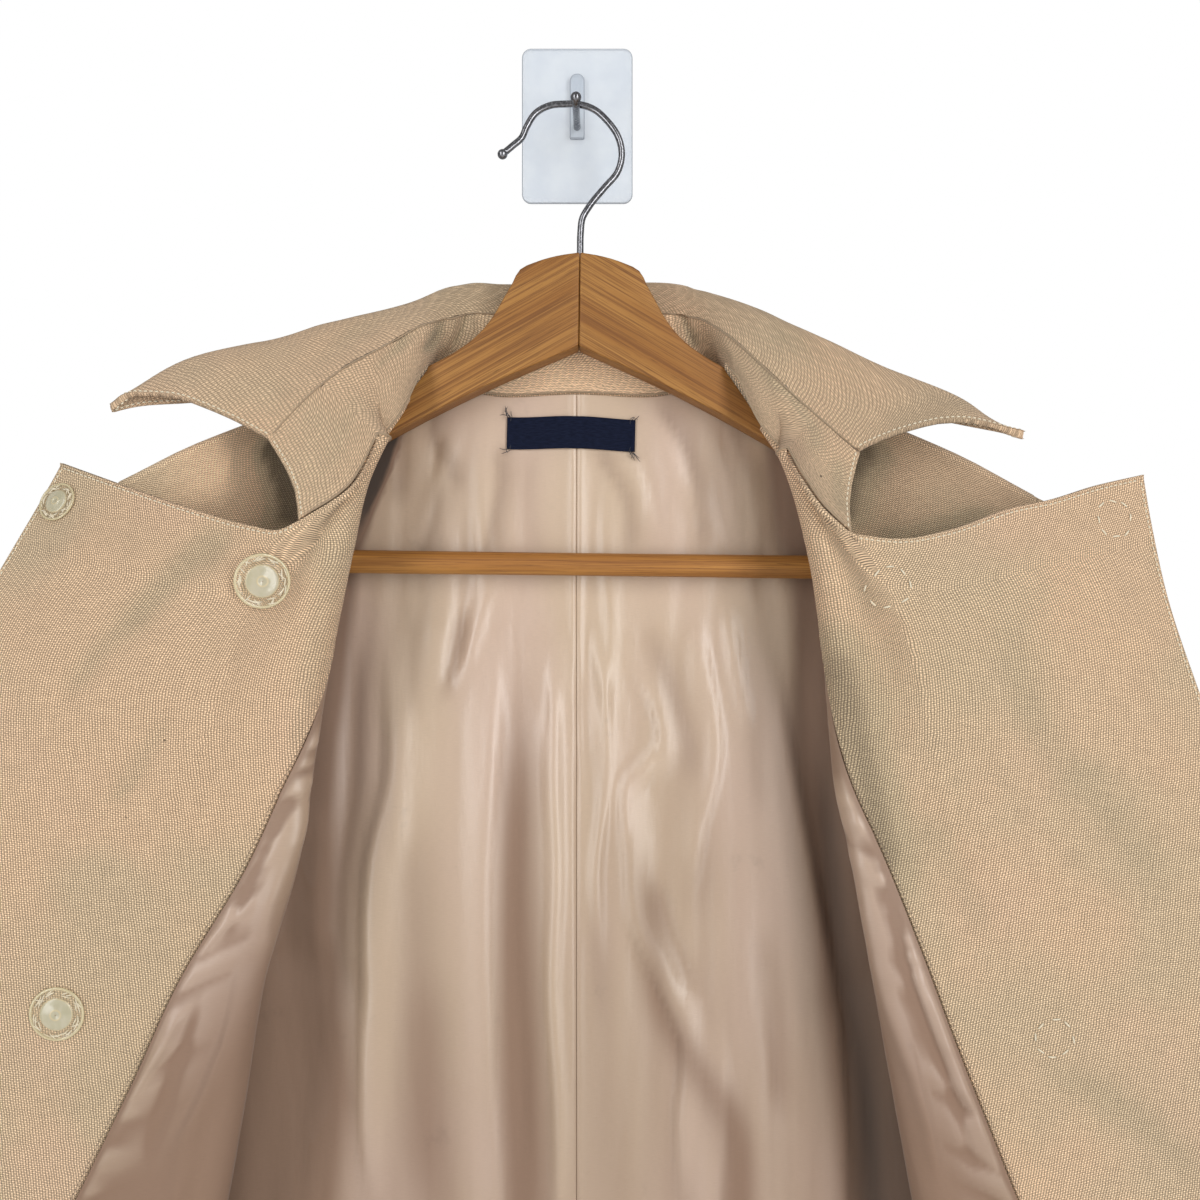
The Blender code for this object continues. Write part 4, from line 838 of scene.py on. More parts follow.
SOCKETS = {"sheen": "Sheen Weight", "sheen_roughness": "Sheen Roughness", "coat": "Coat Weight",
           "coat_roughness": "Coat Roughness", "specular": "Specular IOR Level",
           "anisotropic": "Anisotropic", "ior": "IOR"}


class Shade:
    """One material, its nodes made by short calls."""

    def __init__(self, name, colour, roughness, metallic=0.0):
        self.material = bpy.data.materials.new(name)
        self.material.use_nodes = True
        self.tree = self.material.node_tree
        self.shader = self.tree.nodes["Principled BSDF"]
        self.set("Base Color", colour)
        self.set("Roughness", roughness)
        self.set("Metallic", metallic)
        self.material.diffuse_color = (*colour, 1)

    def feed(self, socket, value):
        if isinstance(value, bpy.types.NodeSocket):
            self.tree.links.new(value, socket)
        elif isinstance(value, tuple) and len(value) == 3 and socket.type == "RGBA":
            socket.default_value = (*value, 1)
        else:
            socket.default_value = value

    def set(self, name, value):
        self.feed(self.shader.inputs[name], value)

    def node(self, kind, inputs=(), out=0, **settings):
        made = self.tree.nodes.new("ShaderNode" + kind)
        for key, value in settings.items():
            setattr(made, key, value)
        for key, value in dict(inputs).items():
            self.feed(made.inputs[key], value)
        return made.outputs[out]

    def math(self, operation, a, b=0.0):
        return self.node("Math", {0: a, 1: b}, operation=operation)

    def line(self, value, scale, start):
        """The value times scale, plus start."""
        return self.node("Math", {0: value, 1: scale, 2: start}, operation="MULTIPLY_ADD")

    def product(self, first, *others):
        for other in others:
            first = self.math("MULTIPLY", first, other)
        return first

    def ramp(self, value, low, high, start=0.0, end=1.0):
        return self.node("MapRange", {0: value, 1: low, 2: high, 3: start, 4: end},
                         interpolation_type="SMOOTHSTEP")

    def mix(self, share, a, b):
        return self.node("Mix", {0: share, 6: a, 7: b}, out=2, data_type="RGBA")

    def tone(self, colour, factor):
        """A colour made lighter or darker by a factor."""
        return self.node("VectorMath", {0: colour, 3: factor}, operation="SCALE")

    def scaled(self, vector, scale):
        return self.node("VectorMath", {0: vector, 1: scale}, operation="MULTIPLY")

    def noise(self, vector, scale, detail=2.0, rough=0.5):
        return self.node("TexNoise", {"Vector": vector, "Scale": scale, "Detail": detail,
                                      "Roughness": rough})

    def bump(self, height, distance, strength=1.0):
        self.set("Normal", self.node("Bump", {"Strength": strength, "Distance": distance,
                                              "Height": height}))

    def done(self, **values):
        """Sets sockets that are the same all over, and hands over the material."""
        for name, value in values.items():
            self.set(SOCKETS[name], value)
        return self.material

    def attribute(self, name, out=2):
        return self.node("Attribute", out=out, attribute_name=name)

    def cloth_place(self):
        return self.node("UVMap", uv_map="cloth")

    def world_place(self):
        return self.node("TexCoord", out=3)


def weave(s, place, warp, weft, wander):
    """Height of a plain weave, 0 to 1, and 1 where the weft is on top, on flat metres."""
    stray = s.node("TexNoise", {"Vector": place, "Scale": 150.0, "Detail": 1.0}, out=1)
    stray = s.node("VectorMath", {0: stray, 1: (0.5, 0.5, 0.5)}, operation="SUBTRACT")
    place = s.node("VectorMath", {0: place, 1: s.tone(stray, wander)}, operation="ADD")
    split = s.tree.nodes.new("ShaderNodeSeparateXYZ")
    s.feed(split.inputs[0], place)
    a = s.math("DIVIDE", split.outputs[0], warp)
    b = s.math("DIVIDE", split.outputs[1], weft)
    parity = s.math("FLOORED_MODULO", s.math("ADD", s.math("FLOOR", a), s.math("FLOOR", b)), 2.0)
    over_a, over_b = [s.math("SINE", s.math("MULTIPLY", s.math("FRACT", c), math.pi)) for c in (a, b)]
    up_a = s.math("MULTIPLY", over_a, s.line(over_b, 0.45, 0.55))
    up_b = s.math("MULTIPLY", over_b, s.line(over_a, 0.45, 0.55))
    return s.node("Mix", {0: parity, 2: up_a, 3: up_b}), parity


def canvas_finish(name="canvas", thread=1.0, contrast=1.0, wander=0.0011):
    """Canvas; its hollow attribute paints shade and light: from 0.1 to 1 the creases' painted shade, over
    1 a deeper painted shade, and under -1 painted light that brightens a place.
    """
    s = Shade(name, (0.56, 0.42, 0.28), 0.88)
    place, world, hollow = s.cloth_place(), s.world_place(), s.attribute("hollow")
    patches = s.noise(world, 7.0, 3.0, 0.55)
    colour = s.mix(s.ramp(patches, 0.42, 0.62), CANVAS_WARM, CANVAS_GREEN)
    blush = s.noise(s.scaled(world, (1.0, 1.0, 0.8)), 13.0, 2.0)
    colour = s.mix(s.ramp(blush, 0.50, 0.72, 0.0, 0.45), colour, CANVAS_PINK)
    # Painted shade in the creases' hollows, tinted greener
    colour = s.mix(s.ramp(hollow, 0.10, 1.0, 0.0, 0.7), colour, CANVAS_CREASE_SHADE)
    height, weft_up = weave(s, place, WARP * thread, WEFT * thread, wander * thread)
    slub = s.noise(s.scaled(place, (900.0, 70.0, 1.0)), 1.0, 2.0)
    slub_across = s.noise(s.scaled(place, (70.0, 900.0, 1.0)), 1.0, 2.0)
    spots = s.node("TexVoronoi", {"Vector": world, "Scale": 34.0, "Randomness": 1.0})
    # Painted shade in the weave's gaps, where its height is low; then painted deep shade over a hollow of
    # 1 and painted light under -1
    shade = s.product(s.line(height, 1.60 * contrast, 0.83 - 0.66 * contrast),
                      s.ramp(hollow, 1.0, 2.0, 1.0, 0.40),
                      s.ramp(hollow, -2.0, -1.0, 1.5, 1.0),
                      s.line(weft_up, -0.26 * contrast, 0.96 + 0.13 * contrast),
                      s.line(s.math("ADD", slub, slub_across), 0.34, 0.66),
                      s.ramp(spots, 0.012, 0.03, 0.35, 1.0))
    s.set("Base Color", s.tone(colour, shade))
    fuzz = s.noise(place, 2600.0, 2.0)
    relief = s.math("ADD", height, s.math("MULTIPLY", fuzz, 0.25))
    s.bump(s.math("ADD", relief, s.math("MULTIPLY", slub, 0.5)), 0.00042, 0.85)
    return s.done(sheen=0.12, sheen_roughness=0.5, specular=0.2)


def satin_finish():
    s = Shade("satin", (0.58, 0.445, 0.335), 0.30)
    place, world, hollow = s.cloth_place(), s.world_place(), s.attribute("hollow")
    tone = s.noise(s.scaled(world, (1.0, 1.0, 0.35)), 14.0, 2.0)
    colour = s.mix(s.ramp(tone, 0.35, 0.65), SATIN_WARM, SATIN_PINK)
    # Painted shade: the hollow attribute darkens the satin towards its painted shade colour, and over 1.1
    # darker still; roughness rises with it so shaded places keep little sheen
    colour = s.mix(s.ramp(hollow, 0.0, 1.0, 0.0, 0.92), colour, SATIN_PAINTED_SHADE)
    threads = s.noise(s.scaled(place, (260.0, 3600.0, 1.0)), 1.0, 2.0)
    stain = s.noise(world, 34.0, 4.0, 0.65)
    shade = s.product(s.line(threads, 0.16, 0.92), s.ramp(stain, 0.62, 0.80, 1.0, 0.84),
                      s.ramp(hollow, 1.1, 2.0, 1.0, 0.22))
    s.set("Base Color", s.tone(colour, shade))
    ripple = s.noise(s.scaled(place, (85.0, 24.0, 1.0)), 1.0, 3.0)
    s.bump(s.math("ADD", s.math("MULTIPLY", threads, 0.10), ripple), 0.0008, 0.55)
    s.set("Roughness", s.ramp(hollow, 0.3, 1.0, 0.30, 0.75))
    return s.done(anisotropic=0.45, sheen=0.15, sheen_roughness=0.35, specular=0.8)


def wood_finish(name="wood", painted_light=1.0):
    s = Shade(name, (0.36, 0.16, 0.055), 0.5)
    # A factor above 1 brightens every wood colour alike: painted light
    base, pale, dark, pore = [tuple(c * painted_light for c in colour)
                              for colour in (WOOD_MID, WOOD_LIGHT, WOOD_DARK, WOOD_PORE)]
    grain = s.attribute("grain", out=1)
    bands = s.noise(s.scaled(grain, (5.0, 90.0, 90.0)), 1.0, 3.0)
    streaks = s.noise(s.scaled(grain, (7.0, 820.0, 820.0)), 1.0, 3.0, 0.6)
    fine = s.noise(s.scaled(grain, (14.0, 1700.0, 1700.0)), 1.0, 2.0)
    pores = s.noise(s.scaled(grain, (70.0, 2600.0, 2600.0)), 1.0, 2.0)
    colour = s.mix(s.ramp(bands, 0.35, 0.65), base, pale)
    colour = s.mix(s.ramp(streaks, 0.50, 0.64, 0.0, 0.62), colour, dark)
    colour = s.mix(s.ramp(fine, 0.50, 0.62, 0.0, 0.60), colour, dark)
    s.set("Base Color", s.mix(s.ramp(pores, 0.60, 0.70, 0.0, 0.55), colour, pore))
    s.set("Roughness", s.ramp(streaks, 0.3, 0.8, 0.46, 0.62))
    s.bump(s.math("SUBTRACT", streaks, s.math("MULTIPLY", pores, 0.8)), 0.0002, 0.5)
    return s.done(coat=0.05, coat_roughness=0.3, specular=0.35)


def steel_finish():
    s = Shade("steel", (0.42, 0.42, 0.44), 0.2, 1.0)
    world = s.world_place()
    scuffs = s.noise(world, 900.0, 3.0)
    s.set("Base Color", s.mix(s.ramp(scuffs, 0.3, 0.7), STEEL_DARK, STEEL_LIGHT))
    s.set("Roughness", s.ramp(scuffs, 0.3, 0.8, 0.13, 0.3))
    s.bump(scuffs, 0.00006, 0.3)
    return s.done()


def clear_finish(name, alpha, colour, low=None):
    s = Shade(name, colour, 0.22)
    world = s.world_place()
    if low:
        s.set("Base Color", s.mix(s.ramp(s.noise(world, 60.0, 3.0), 0.3, 0.7), low, colour))
    s.set("Alpha", alpha)
    s.bump(s.noise(world, 400.0, 2.0), 0.0001, 0.3)
    s.material.surface_render_method = "BLENDED"
    return s.done()


def snap_finish():
    """Clear plastic: the rim and dome are denser than the zone between them."""
    s = Shade("snap", (0.66, 0.62, 0.44), 0.16)
    world = s.world_place()
    zone = s.attribute("hollow")
    tint = s.noise(world, 160.0, 3.0)
    colour = s.mix(s.ramp(tint, 0.35, 0.65), SNAP_DOME, SNAP_PALE)
    s.set("Base Color", s.mix(s.ramp(zone, 0.25, 0.5), colour, SNAP_RIM))
    s.set("Alpha", s.ramp(zone, 0.5, 1.0, 0.72, 0.20))
    s.bump(s.noise(world, 900.0, 2.0), 0.00012, 0.4)
    s.material.surface_render_method = "BLENDED"
    return s.done(ior=1.49, specular=0.6, coat=0.6, coat_roughness=0.08)


def thread_finish(name, colour):
    s = Shade(name, colour, 0.62)
    world = s.world_place()
    fibre = s.noise(world, 3400.0, 2.0)
    s.set("Base Color", s.mix(s.ramp(fibre, 0.3, 0.7), tuple(c * 0.8 for c in colour), colour))
    s.bump(fibre, 0.00008, 0.6)
    return s.done(sheen=0.3)


def label_finish():
    s = Shade("label", NAVY, 0.8)
    place = s.cloth_place()
    height, _ = weave(s, place, LABEL_WARP, LABEL_WEFT, 0.0001)
    drift = s.noise(s.scaled(place, (300.0, 1400.0, 1.0)), 1.0, 2.0)
    colour = s.mix(s.ramp(drift, 0.3, 0.7), NAVY_DARK, NAVY)
    # Raised threads lighter: painted highlight on the label's thread tops
    s.set("Base Color", s.mix(s.ramp(height, 0.2, 1.0, 0.0, 0.5), colour, NAVY_PAINTED_HIGHLIGHT))
    s.bump(height, 0.00012, 0.6)
    return s.done(specular=0.12)


def floor_finish():
    s = Shade("floor", FLOOR_MIDDLE, 0.8)
    world = s.world_place()
    s.set("Base Color", s.mix(s.noise(world, 3.0, 3.0), FLOOR_LOW, FLOOR_HIGH))
    s.bump(s.noise(world, 220.0, 2.0), 0.0004, 0.2)
    return s.done()


CANVAS_WARM, CANVAS_GREEN, CANVAS_PINK = (0.66, 0.465, 0.30), (0.59, 0.445, 0.29), (0.69, 0.465, 0.315)
# Painted shade colour of the canvas's creases
CANVAS_CREASE_SHADE = (0.46, 0.365, 0.235)
# Satin tones; the third is the lining's painted shade colour
SATIN_WARM, SATIN_PINK, SATIN_PAINTED_SHADE = (0.60, 0.455, 0.325), (0.62, 0.46, 0.36), (0.225, 0.128, 0.078)
WOOD_LIGHT, WOOD_MID = (0.41, 0.195, 0.048), (0.31, 0.13, 0.028)
WOOD_DARK, WOOD_PORE = (0.17, 0.062, 0.015), (0.10, 0.038, 0.010)
STEEL_DARK, STEEL_LIGHT = (0.16, 0.16, 0.17), (0.34, 0.34, 0.36)
# Clear tints; the last is the greyer rim colour, painted shade on the clear pieces' edges
CLEAR_LOW, CLEAR_HIGH, CLEAR_EDGE = (0.66, 0.73, 0.82), (0.74, 0.80, 0.87), (0.44, 0.48, 0.54)
SNAP_DOME, SNAP_PALE, SNAP_RIM = (0.58, 0.55, 0.38), (0.66, 0.62, 0.46), (0.74, 0.64, 0.40)
# Label navy tones; the last is the painted highlight on its thread tops
NAVY_DARK, NAVY, NAVY_PAINTED_HIGHLIGHT = (0.003, 0.005, 0.016), (0.008, 0.012, 0.032), (0.010, 0.015, 0.036)
THREADS = {"thread": (0.86, 0.76, 0.57), "seam_thread": (0.26, 0.17, 0.11),
           "canvas_seam": (0.40, 0.285, 0.175), "navy_thread": (0.006, 0.009, 0.022)}
FLOOR_LOW, FLOOR_MIDDLE, FLOOR_HIGH = (0.84, 0.84, 0.83), (0.86, 0.86, 0.85), (0.88, 0.88, 0.87)
# Width of a canvas thread each way and of the label's, and how much the bar's wood is brightened: painted
# light on the bar, which lies in shade
WARP, WEFT, LABEL_WARP, LABEL_WEFT = 1.25 * MM, 0.85 * MM, 0.42 * MM, 0.36 * MM
BAR_PAINTED_LIGHT = 1.28

FINISHES = {
    "canvas": canvas_finish(),
    "collar_canvas": canvas_finish("collar_canvas", thread=1.5, contrast=0.5, wander=0.0017),
    "satin": satin_finish(),
    "wood": wood_finish(),
    # The bar's brightened copy of the wood: painted light on the bar, which lies in shade
    "wood_bar": wood_finish("wood_bar", BAR_PAINTED_LIGHT),
    "steel": steel_finish(),
    "clear": clear_finish("clear", 0.5, CLEAR_HIGH, CLEAR_LOW),
    "clear_edge": clear_finish("clear_edge", 0.7, CLEAR_EDGE),
    "snap": snap_finish(),
    "label": label_finish(),
    "floor": floor_finish(),
}
FINISHES.update({name: thread_finish(name, colour) for name, colour in THREADS.items()})
SLOTS = {
    "canvas": ["canvas", "collar_canvas", "thread", "canvas_seam"],
    "lining": ["satin", "seam_thread"],
    "wood": ["wood", "wood_bar"],
    "steel": ["steel"],
    "clear": ["clear"],
    "snap": ["snap"],
    "label": ["label", "navy_thread"],
}
SLOT_OF = {finish: slot for slot, finishes in SLOTS.items() for finish in finishes}


def dress(piece, finish, *nodes):
    """Gives a piece its finish, and sets it on the body in place of CAD nodes."""
    piece.data.materials.append(FINISHES[finish])
    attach(piece, "root")
    if nodes:
        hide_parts(*nodes)
    return piece


def flat_size(points):
    """Width, length and area of a grid of points laid flat."""
    a, b = points[:-1, 1:] - points[:-1, :-1], points[1:, :-1] - points[:-1, :-1]
    c, d = points[:-1, 1:] - points[1:, 1:], points[1:, :-1] - points[1:, 1:]
    area = (np.linalg.norm(np.cross(a, b), axis=-1) + np.linalg.norm(np.cross(c, d), axis=-1)).sum() / 2
    return lengths(points, 1)[:, -1].max(), lengths(points, 0)[-1].max(), area


def cut_cloth(flat_points):
    """Works out the flat size of a piece from its smooth surface before any crease, and keeps nothing of
    it.
    """
    width, length, area = flat_size(flat_points)
    float(min(area, width * length))


# Fronts

FRONT_COLUMNS = spread([0, REAR_FOLD, FRONT_FOLD, GORGE_END, 0.985, 1], [24, 18, 16, 44, 8])
BODY_ROWS = spread([0, ARCH_ROWS, 0.035, 0.06, TOP_FADE, 0.985, 1], [6, 6, 5, 44, 72, 5])
GRAIN = {LEFT: math.radians(-5), RIGHT: math.radians(9)}
STITCH_IN = 2.4 * MM
STITCH, STITCH_GAP, STITCH_WIDE = 1.9 * MM, 0.8 * MM, 0.82 * MM
HEM_STITCH, HEM_LENGTH, HEM_GAP = 24 * MM, 3.2 * MM, 1.4 * MM
# Share of a panel's width left free on each side of the facing's seam
SEAM_CLEAR = 0.0012


# A turned edge, in millimetres: rise and place of its roll, then of its dip, and half width
ROLL_RISE, ROLL_IN, DIP_RISE, DIP_IN, ROLL_HALF = 0.30, 1.1, 0.28, 2.5, 0.7
# Depth of a crease that gets the full painted crease shade
HOLLOW_DEPTH = 3 * MM
# How far into its roll the facing starts at its seam
SEAM_ROLL = 0.3 * MM
# The thin dark stitches along the facing's seam: place, top row, length, gap, width
SEAM_IN, SEAM_FROM, SEAM_LENGTH, SEAM_SPACE, SEAM_WIDE = 1.3 * MM, 0.24, 1.5 * MM, 0.9 * MM, 0.3 * MM


def puff(distance):
    """The roll of a turned edge outside its topstitching, and the dip under the thread."""
    d = distance / MM
    roll = ROLL_RISE * np.exp(-((d - ROLL_IN) / ROLL_HALF) ** 2)
    return (roll - DIP_RISE * np.exp(-((d - DIP_IN) / ROLL_HALF) ** 2)) * MM


# Painted deep shade on the shoulders, beside the collar's ends and under the lapels' tops; a negative
# rise, as in the last left row, paints light instead
NOTCH_SHADE = {
    LEFT: [
        ([(-158, -164), (-150, -182), (-144, -196), (-140, -210), (-138, -228)], 17, 2.5),
        ([(-143, -222), (-160, -222), (-184, -216)], 7, 0.7),
        ([(-160, -176), (-200, -192), (-256, -214)], 30, -2.1),
    ],
    RIGHT: [
        ([(162, -168), (148, -180), (140, -192), (136, -208), (136, -230)], 14, 1.9),
        ([(141, -228), (160, -228), (190, -221), (226, -210)], 8, 1.3),
    ],
}
# Painted shade along the turn of a fold
FOLD_SHADE = {
    LEFT: [([(-112, -200), (-120, -250), (-130, -310), (-140, -360)], 7, 0.5)],
    RIGHT: [([(118, -250), (128, -290), (138, -335), (148, -375), (158, -420)], 16, 1.5)],
}


def front_rise(side):
    def rise(u, v, base):
        flap = ease((u - FRONT_FOLD) / 0.07)
        hidden = ease((REAR_FOLD - u) / 0.10) * ease((v - 0.25) / 0.2)
        edge = ease((1 - u) / 0.03) * 0.7 + 0.3
        return (flap * edge * crease_height(FLAP_CREASES[side], base)
                + hidden * crease_height(HIDDEN_CREASES[side], base))
    return rise


def inset_line(points, from_edge, last=True):
    """The line a set length in from the last or first column of a grid."""
    rows = points[:, ::-1] if last else points
    run = lengths(rows, 1)
    return np.array([[np.interp(from_edge, run[i], rows[i, :, k]) for k in range(3)]
                     for i in range(len(rows))])


# Share of painted crease shade from how far the cloth sinks, from -1 to 1
def hollow_of(lift):
    return np.clip(-lift / HOLLOW_DEPTH, -1, 1)


def topstitch(name, line, out, seed):
    return dress(run_stitches(name, line, out, STITCH, STITCH_GAP, STITCH_WIDE, seed), "thread")


def hem_stitch(name, grid_points, out, seed):
    """One row of longer stitches above the last row of a grid."""
    line = inset_line(grid_points.transpose(1, 0, 2), HEM_STITCH)
    return dress(run_stitches(name, line, out, HEM_LENGTH, HEM_GAP, STITCH_WIDE, seed), "thread")


def edge_swell(points, u, from_seam=1.0):
    """The roll of the front edge and the lapel's top, and of a seam at the distance given."""
    from_edge = lengths(points[:, ::-1], 1)[:, ::-1]
    from_top = np.where(u > GORGE_END, lengths(points, 0), 1.0)
    return puff(np.minimum(np.minimum(from_edge, from_top), from_seam))


def build_front(side, front):
    word = WORD[side]
    panel = Panel(front.at, -side, front_rise(side))
    u, v = grid(FRONT_COLUMNS, BODY_ROWS)
    points, across, lift = panel.points(u, v)
    uv = flat_place(points, int(np.searchsorted(FRONT_COLUMNS, FRONT_FOLD)), GRAIN[side])
    swell = CANVAS / 2 + edge_swell(points, u)
    # The hollow attribute: painted shade in the creases, and in the notch painted shade and light
    shade = np.where(u < REAR_FOLD, crease_height(NOTCH_SHADE[side], points) / MM, 0)
    piece = wall("front_cloth_" + word, points, across, -swell, CANVAS / 2, uv, hollow_of(lift) + shade)
    dress(piece, "canvas", "front_" + word)
    outer = points - across * (swell + STITCH_WIDE / 4)[..., None]
    sewn = edge_stitches("front_topstitch_" + word, outer, -across, u, 31)
    sewn.append(hem_stitch("hem_stitch_front_" + word, outer[:, ::-1], -across[-1, ::-1], 41))
    cut_cloth(front.at(u, v))
    build_facing(side, front, panel)
    build_strip_lining(side, front, panel)
    return panel


def build_facing(side, front, panel):
    word = WORD[side]
    t, v = grid(spread([0, 0.03, 0.2, 0.9, 0.975, 1], [5, 12, 44, 6, 8]), BODY_ROWS)
    u = mix(front.seam(v) + SEAM_CLEAR, 1, t)
    points, across, lift = panel.points(u, v)
    top = LAYER + CANVAS + edge_swell(points, u, lengths(points, 1) + SEAM_ROLL)
    # Painted shade along the fold's turn, added to the creases' painted shade
    shade = crease_height(FOLD_SHADE[side], points) / MM
    piece = wall("facing_cloth_" + word, points, across, LAYER, top, flat_place(points, 0, GRAIN[side]),
                 hollow_of(lift) + shade)
    dress(piece, "canvas", "facing_" + word)
    inner = points + across * (top + STITCH_WIDE / 4)[..., None]
    sewn = edge_stitches("facing_topstitch_" + word, inner, across, u, 32)
    line = inset_line(inner, SEAM_IN, last=False)
    shown = v[:, 0] > SEAM_FROM
    sewn.append(dress(run_stitches("seam_stitch_" + word, line[shown], across[shown, 0], SEAM_LENGTH,
                                   SEAM_SPACE, SEAM_WIDE, 33), "seam_thread"))
    cut_cloth(front.at(u, v))


def edge_stitches(name, grid_points, out, u, seed):
    """Topstitching along the front edge and the lapel's top."""
    line = inset_line(grid_points, STITCH_IN)
    edge = topstitch(name + "_edge", line[7:], out[7:, -1], seed)
    shown = u[0] > GORGE_END - 0.004
    line = inset_line(grid_points[:, shown].transpose(1, 0, 2), STITCH_IN, last=False)
    return [edge, topstitch(name + "_top", line[:-3], out[8, shown][:-3], seed + 5)]


def soft_floor(height, soft=0.4 * MM):
    return (height + np.sqrt(height ** 2 + soft ** 2)) / 2


# Gathers along the facing's seam: lean, how many, then rise, middle and reach in millimetres
GATHERS = [(0, 130, 0.9, 5, 5), (0.6, 64, 1.3, 9, 13)]


def build_strip_lining(side, front, panel):
    """The front's own lining, with folds and with gathers along the facing's seam."""
    word = WORD[side]
    rows = BODY_ROWS[BODY_ROWS > LINING_TOP - 0.02]
    rows = np.interp(np.arange(0, len(rows) - 0.5, 0.5), np.arange(len(rows)), rows)
    t, v = grid(spread([0, 0.7, 0.96, 1], [28, 34, 5]), rows)
    u = mix(SEAM_ALLOWANCE, front.seam(v) - SEAM_CLEAR, t)
    points, across, _ = panel.points(u, v)
    z = points[..., 2]
    from_seam = lengths(points[:, ::-1], 1)[:, ::-1]
    shown = ease((u - (REAR_FOLD + FRONT_FOLD) / 2 + 0.02) / 0.05)
    chance = np.random.default_rng(51 if side == LEFT else 52)
    height = STRIP_REST + crease_height(STRIP_FOLDS[side], points)
    for lean, count, rise, middle, reach in GATHERS:
        drawn = np.interp(z - lean * from_seam, np.linspace(-0.8, -0.2, count),
                          chance.uniform(-1, 1, count))
        height = height + drawn * rise * MM * np.exp(-((from_seam / MM - middle) / reach) ** 2)
    height = soft_floor(height) * ease(from_seam / (4 * MM)) * shown
    # Painted shade on the strip: more away from the facing's seam and lower down, and in its folds'
    # hollows
    inside = 0.40 + 0.45 * ease(from_seam / (45 * MM)) + 0.3 * ease((-0.40 - z) / 0.2)
    piece = wall("lining_strip_" + word, points, across, LAYER + height, LAYER + SATIN + height,
                 flat_place(points, 0), inside + np.clip(hollow_of(height - STRIP_REST), 0, 0.4))
    dress(piece, "satin", "lining_front_" + word)
    cut_cloth(front.at(u, v))


# Back and its lining

# Rest height of the satin over the canvas, on the strips and on the back above and below the bar
STRIP_REST = 1.5 * MM
# The same above and below the bar for the most it may rise, and the level where it changes
LINING_REST, LINING_ROOM = (1.5 * MM, 4.6 * MM), (2.8 * MM, 13.0 * MM)
ROOM_LEVEL, ROOM_SOFT = -245 * MM, 50 * MM
# Share of the back's width that the front's own lining covers
LINING_EDGE = 0.05
# The back's centre seam: its stitches beside it, its groove, and the lining's ridge and sinks
SEAM_STITCH, GROOVE_DEPTH, GROOVE_HALF = 3.2 * MM, 0.35 * MM, 0.8 * MM
RIDGE_RISE, RIDGE_IN, RIDGE_HALF, SINK_DEPTH = 0.5 * MM, 2.2 * MM, 1.6 * MM, 14 * MM
# Half size of the calm place behind the label, across and along, and how softly it ends
CALM_HALF, CALM_SOFT = (36 * MM, 9 * MM), (12 * MM, 8 * MM)
# Level, reach of the front's fold seen from the front, width and depth of the painted shade beside it
DEEP_ZONE = {
    LEFT: [(-150, 92, 6, 2.0), (-188, 102, 6, 2.0), (-208, 110, 6, 1.8), (-235, 122, 12, 1.05),
           (-330, 134, 14, 1.0), (-430, 142, 18, 0.9), (-470, 134, 20, 0.62), (-520, 132, 24, 0.6),
           (-580, 142, 28, 0.6), (-760, 160, 40, 0.6)],
    RIGHT: [(-160, 106, 12, 1.0), (-250, 122, 18, 1.0), (-340, 132, 24, 1.0), (-450, 144, 26, 0.95),
            (-540, 156, 28, 1.0), (-620, 166, 32, 1.0), (-760, 184, 40, 1.0)],
}
# Soft painted shade beside and between the lining's folds
LINING_SHADES = [
    ([(-44, -170), (-40, -192), (-44, -216), (-50, -244)], 4, 0.48, 9),
    ([(-90, -146), (-94, -164), (-92, -182), (-98, -214)], 8, 0.42),
    ([(-66, -146), (-76, -168), (-66, -188), (-60, -206)], 4, 0.42, 7),
    ([(-74, -190), (-76, -214), (-84, -244)], 4, 0.34, 7),
    ([(-22, -172), (-24, -200), (-20, -244)], 6, 0.22),
    ([(6, -172), (16, -186), (26, -204), (27, -240)], 4, 0.42, 8),
    ([(36, -142), (48, -160), (60, -182), (66, -214), (66, -244)], 4, 0.46, 8),
    ([(76, -150), (88, -180), (96, -214), (98, -244)], 4, 0.42, 8),
    ([(98, -170), (104, -200), (108, -244)], 7, 0.30),
    ([(-60, -256), (-64, -284), (-72, -316)], 3.5, 0.26, 6),
    ([(-84, -256), (-86, -290), (-90, -330)], 5, 0.22),
    ([(-82, -350), (-84, -420), (-86, -500), (-80, -600)], 14, 0.16),
    ([(-30, -276), (-30, -330), (-31, -400), (-30, -474), (-27, -560), (-24, -690)], 11, 0.44, 12),
    ([(8, -300), (12, -360), (10, -430), (14, -500)], 4, 0.14, 7),
    ([(36, -262), (46, -296), (58, -330), (62, -360)], 6, 0.24),
    ([(50, -258), (58, -320), (62, -390), (66, -440)], 18, 0.20),
    ([(29, -340), (30, -385), (38, -430), (48, -474), (64, -502), (80, -527), (86, -600), (88, -700)],
     10, 0.40, 8),
    ([(84, -262), (90, -300), (94, -340), (98, -380)], 4, 0.20, 7),
    ([(98, -300), (112, -350), (118, -400), (122, -450), (126, -520), (130, -700)], 10, 0.26, 16),
]
BACK_HALF = spread([0, 0.05, BACK_SHOULDER, 0.40, 0.494, 0.5], [6, 22, 8, 16, 4])
BACK_COLUMNS = np.concatenate([BACK_HALF, 1 - BACK_HALF[-2::-1]])


def back_rise(u, v, base):
    away = ease(np.minimum(u, 1 - u) / 0.06) * ease((v - 0.05) / 0.12)
    return -away * crease_height(BACK_CREASES, base)


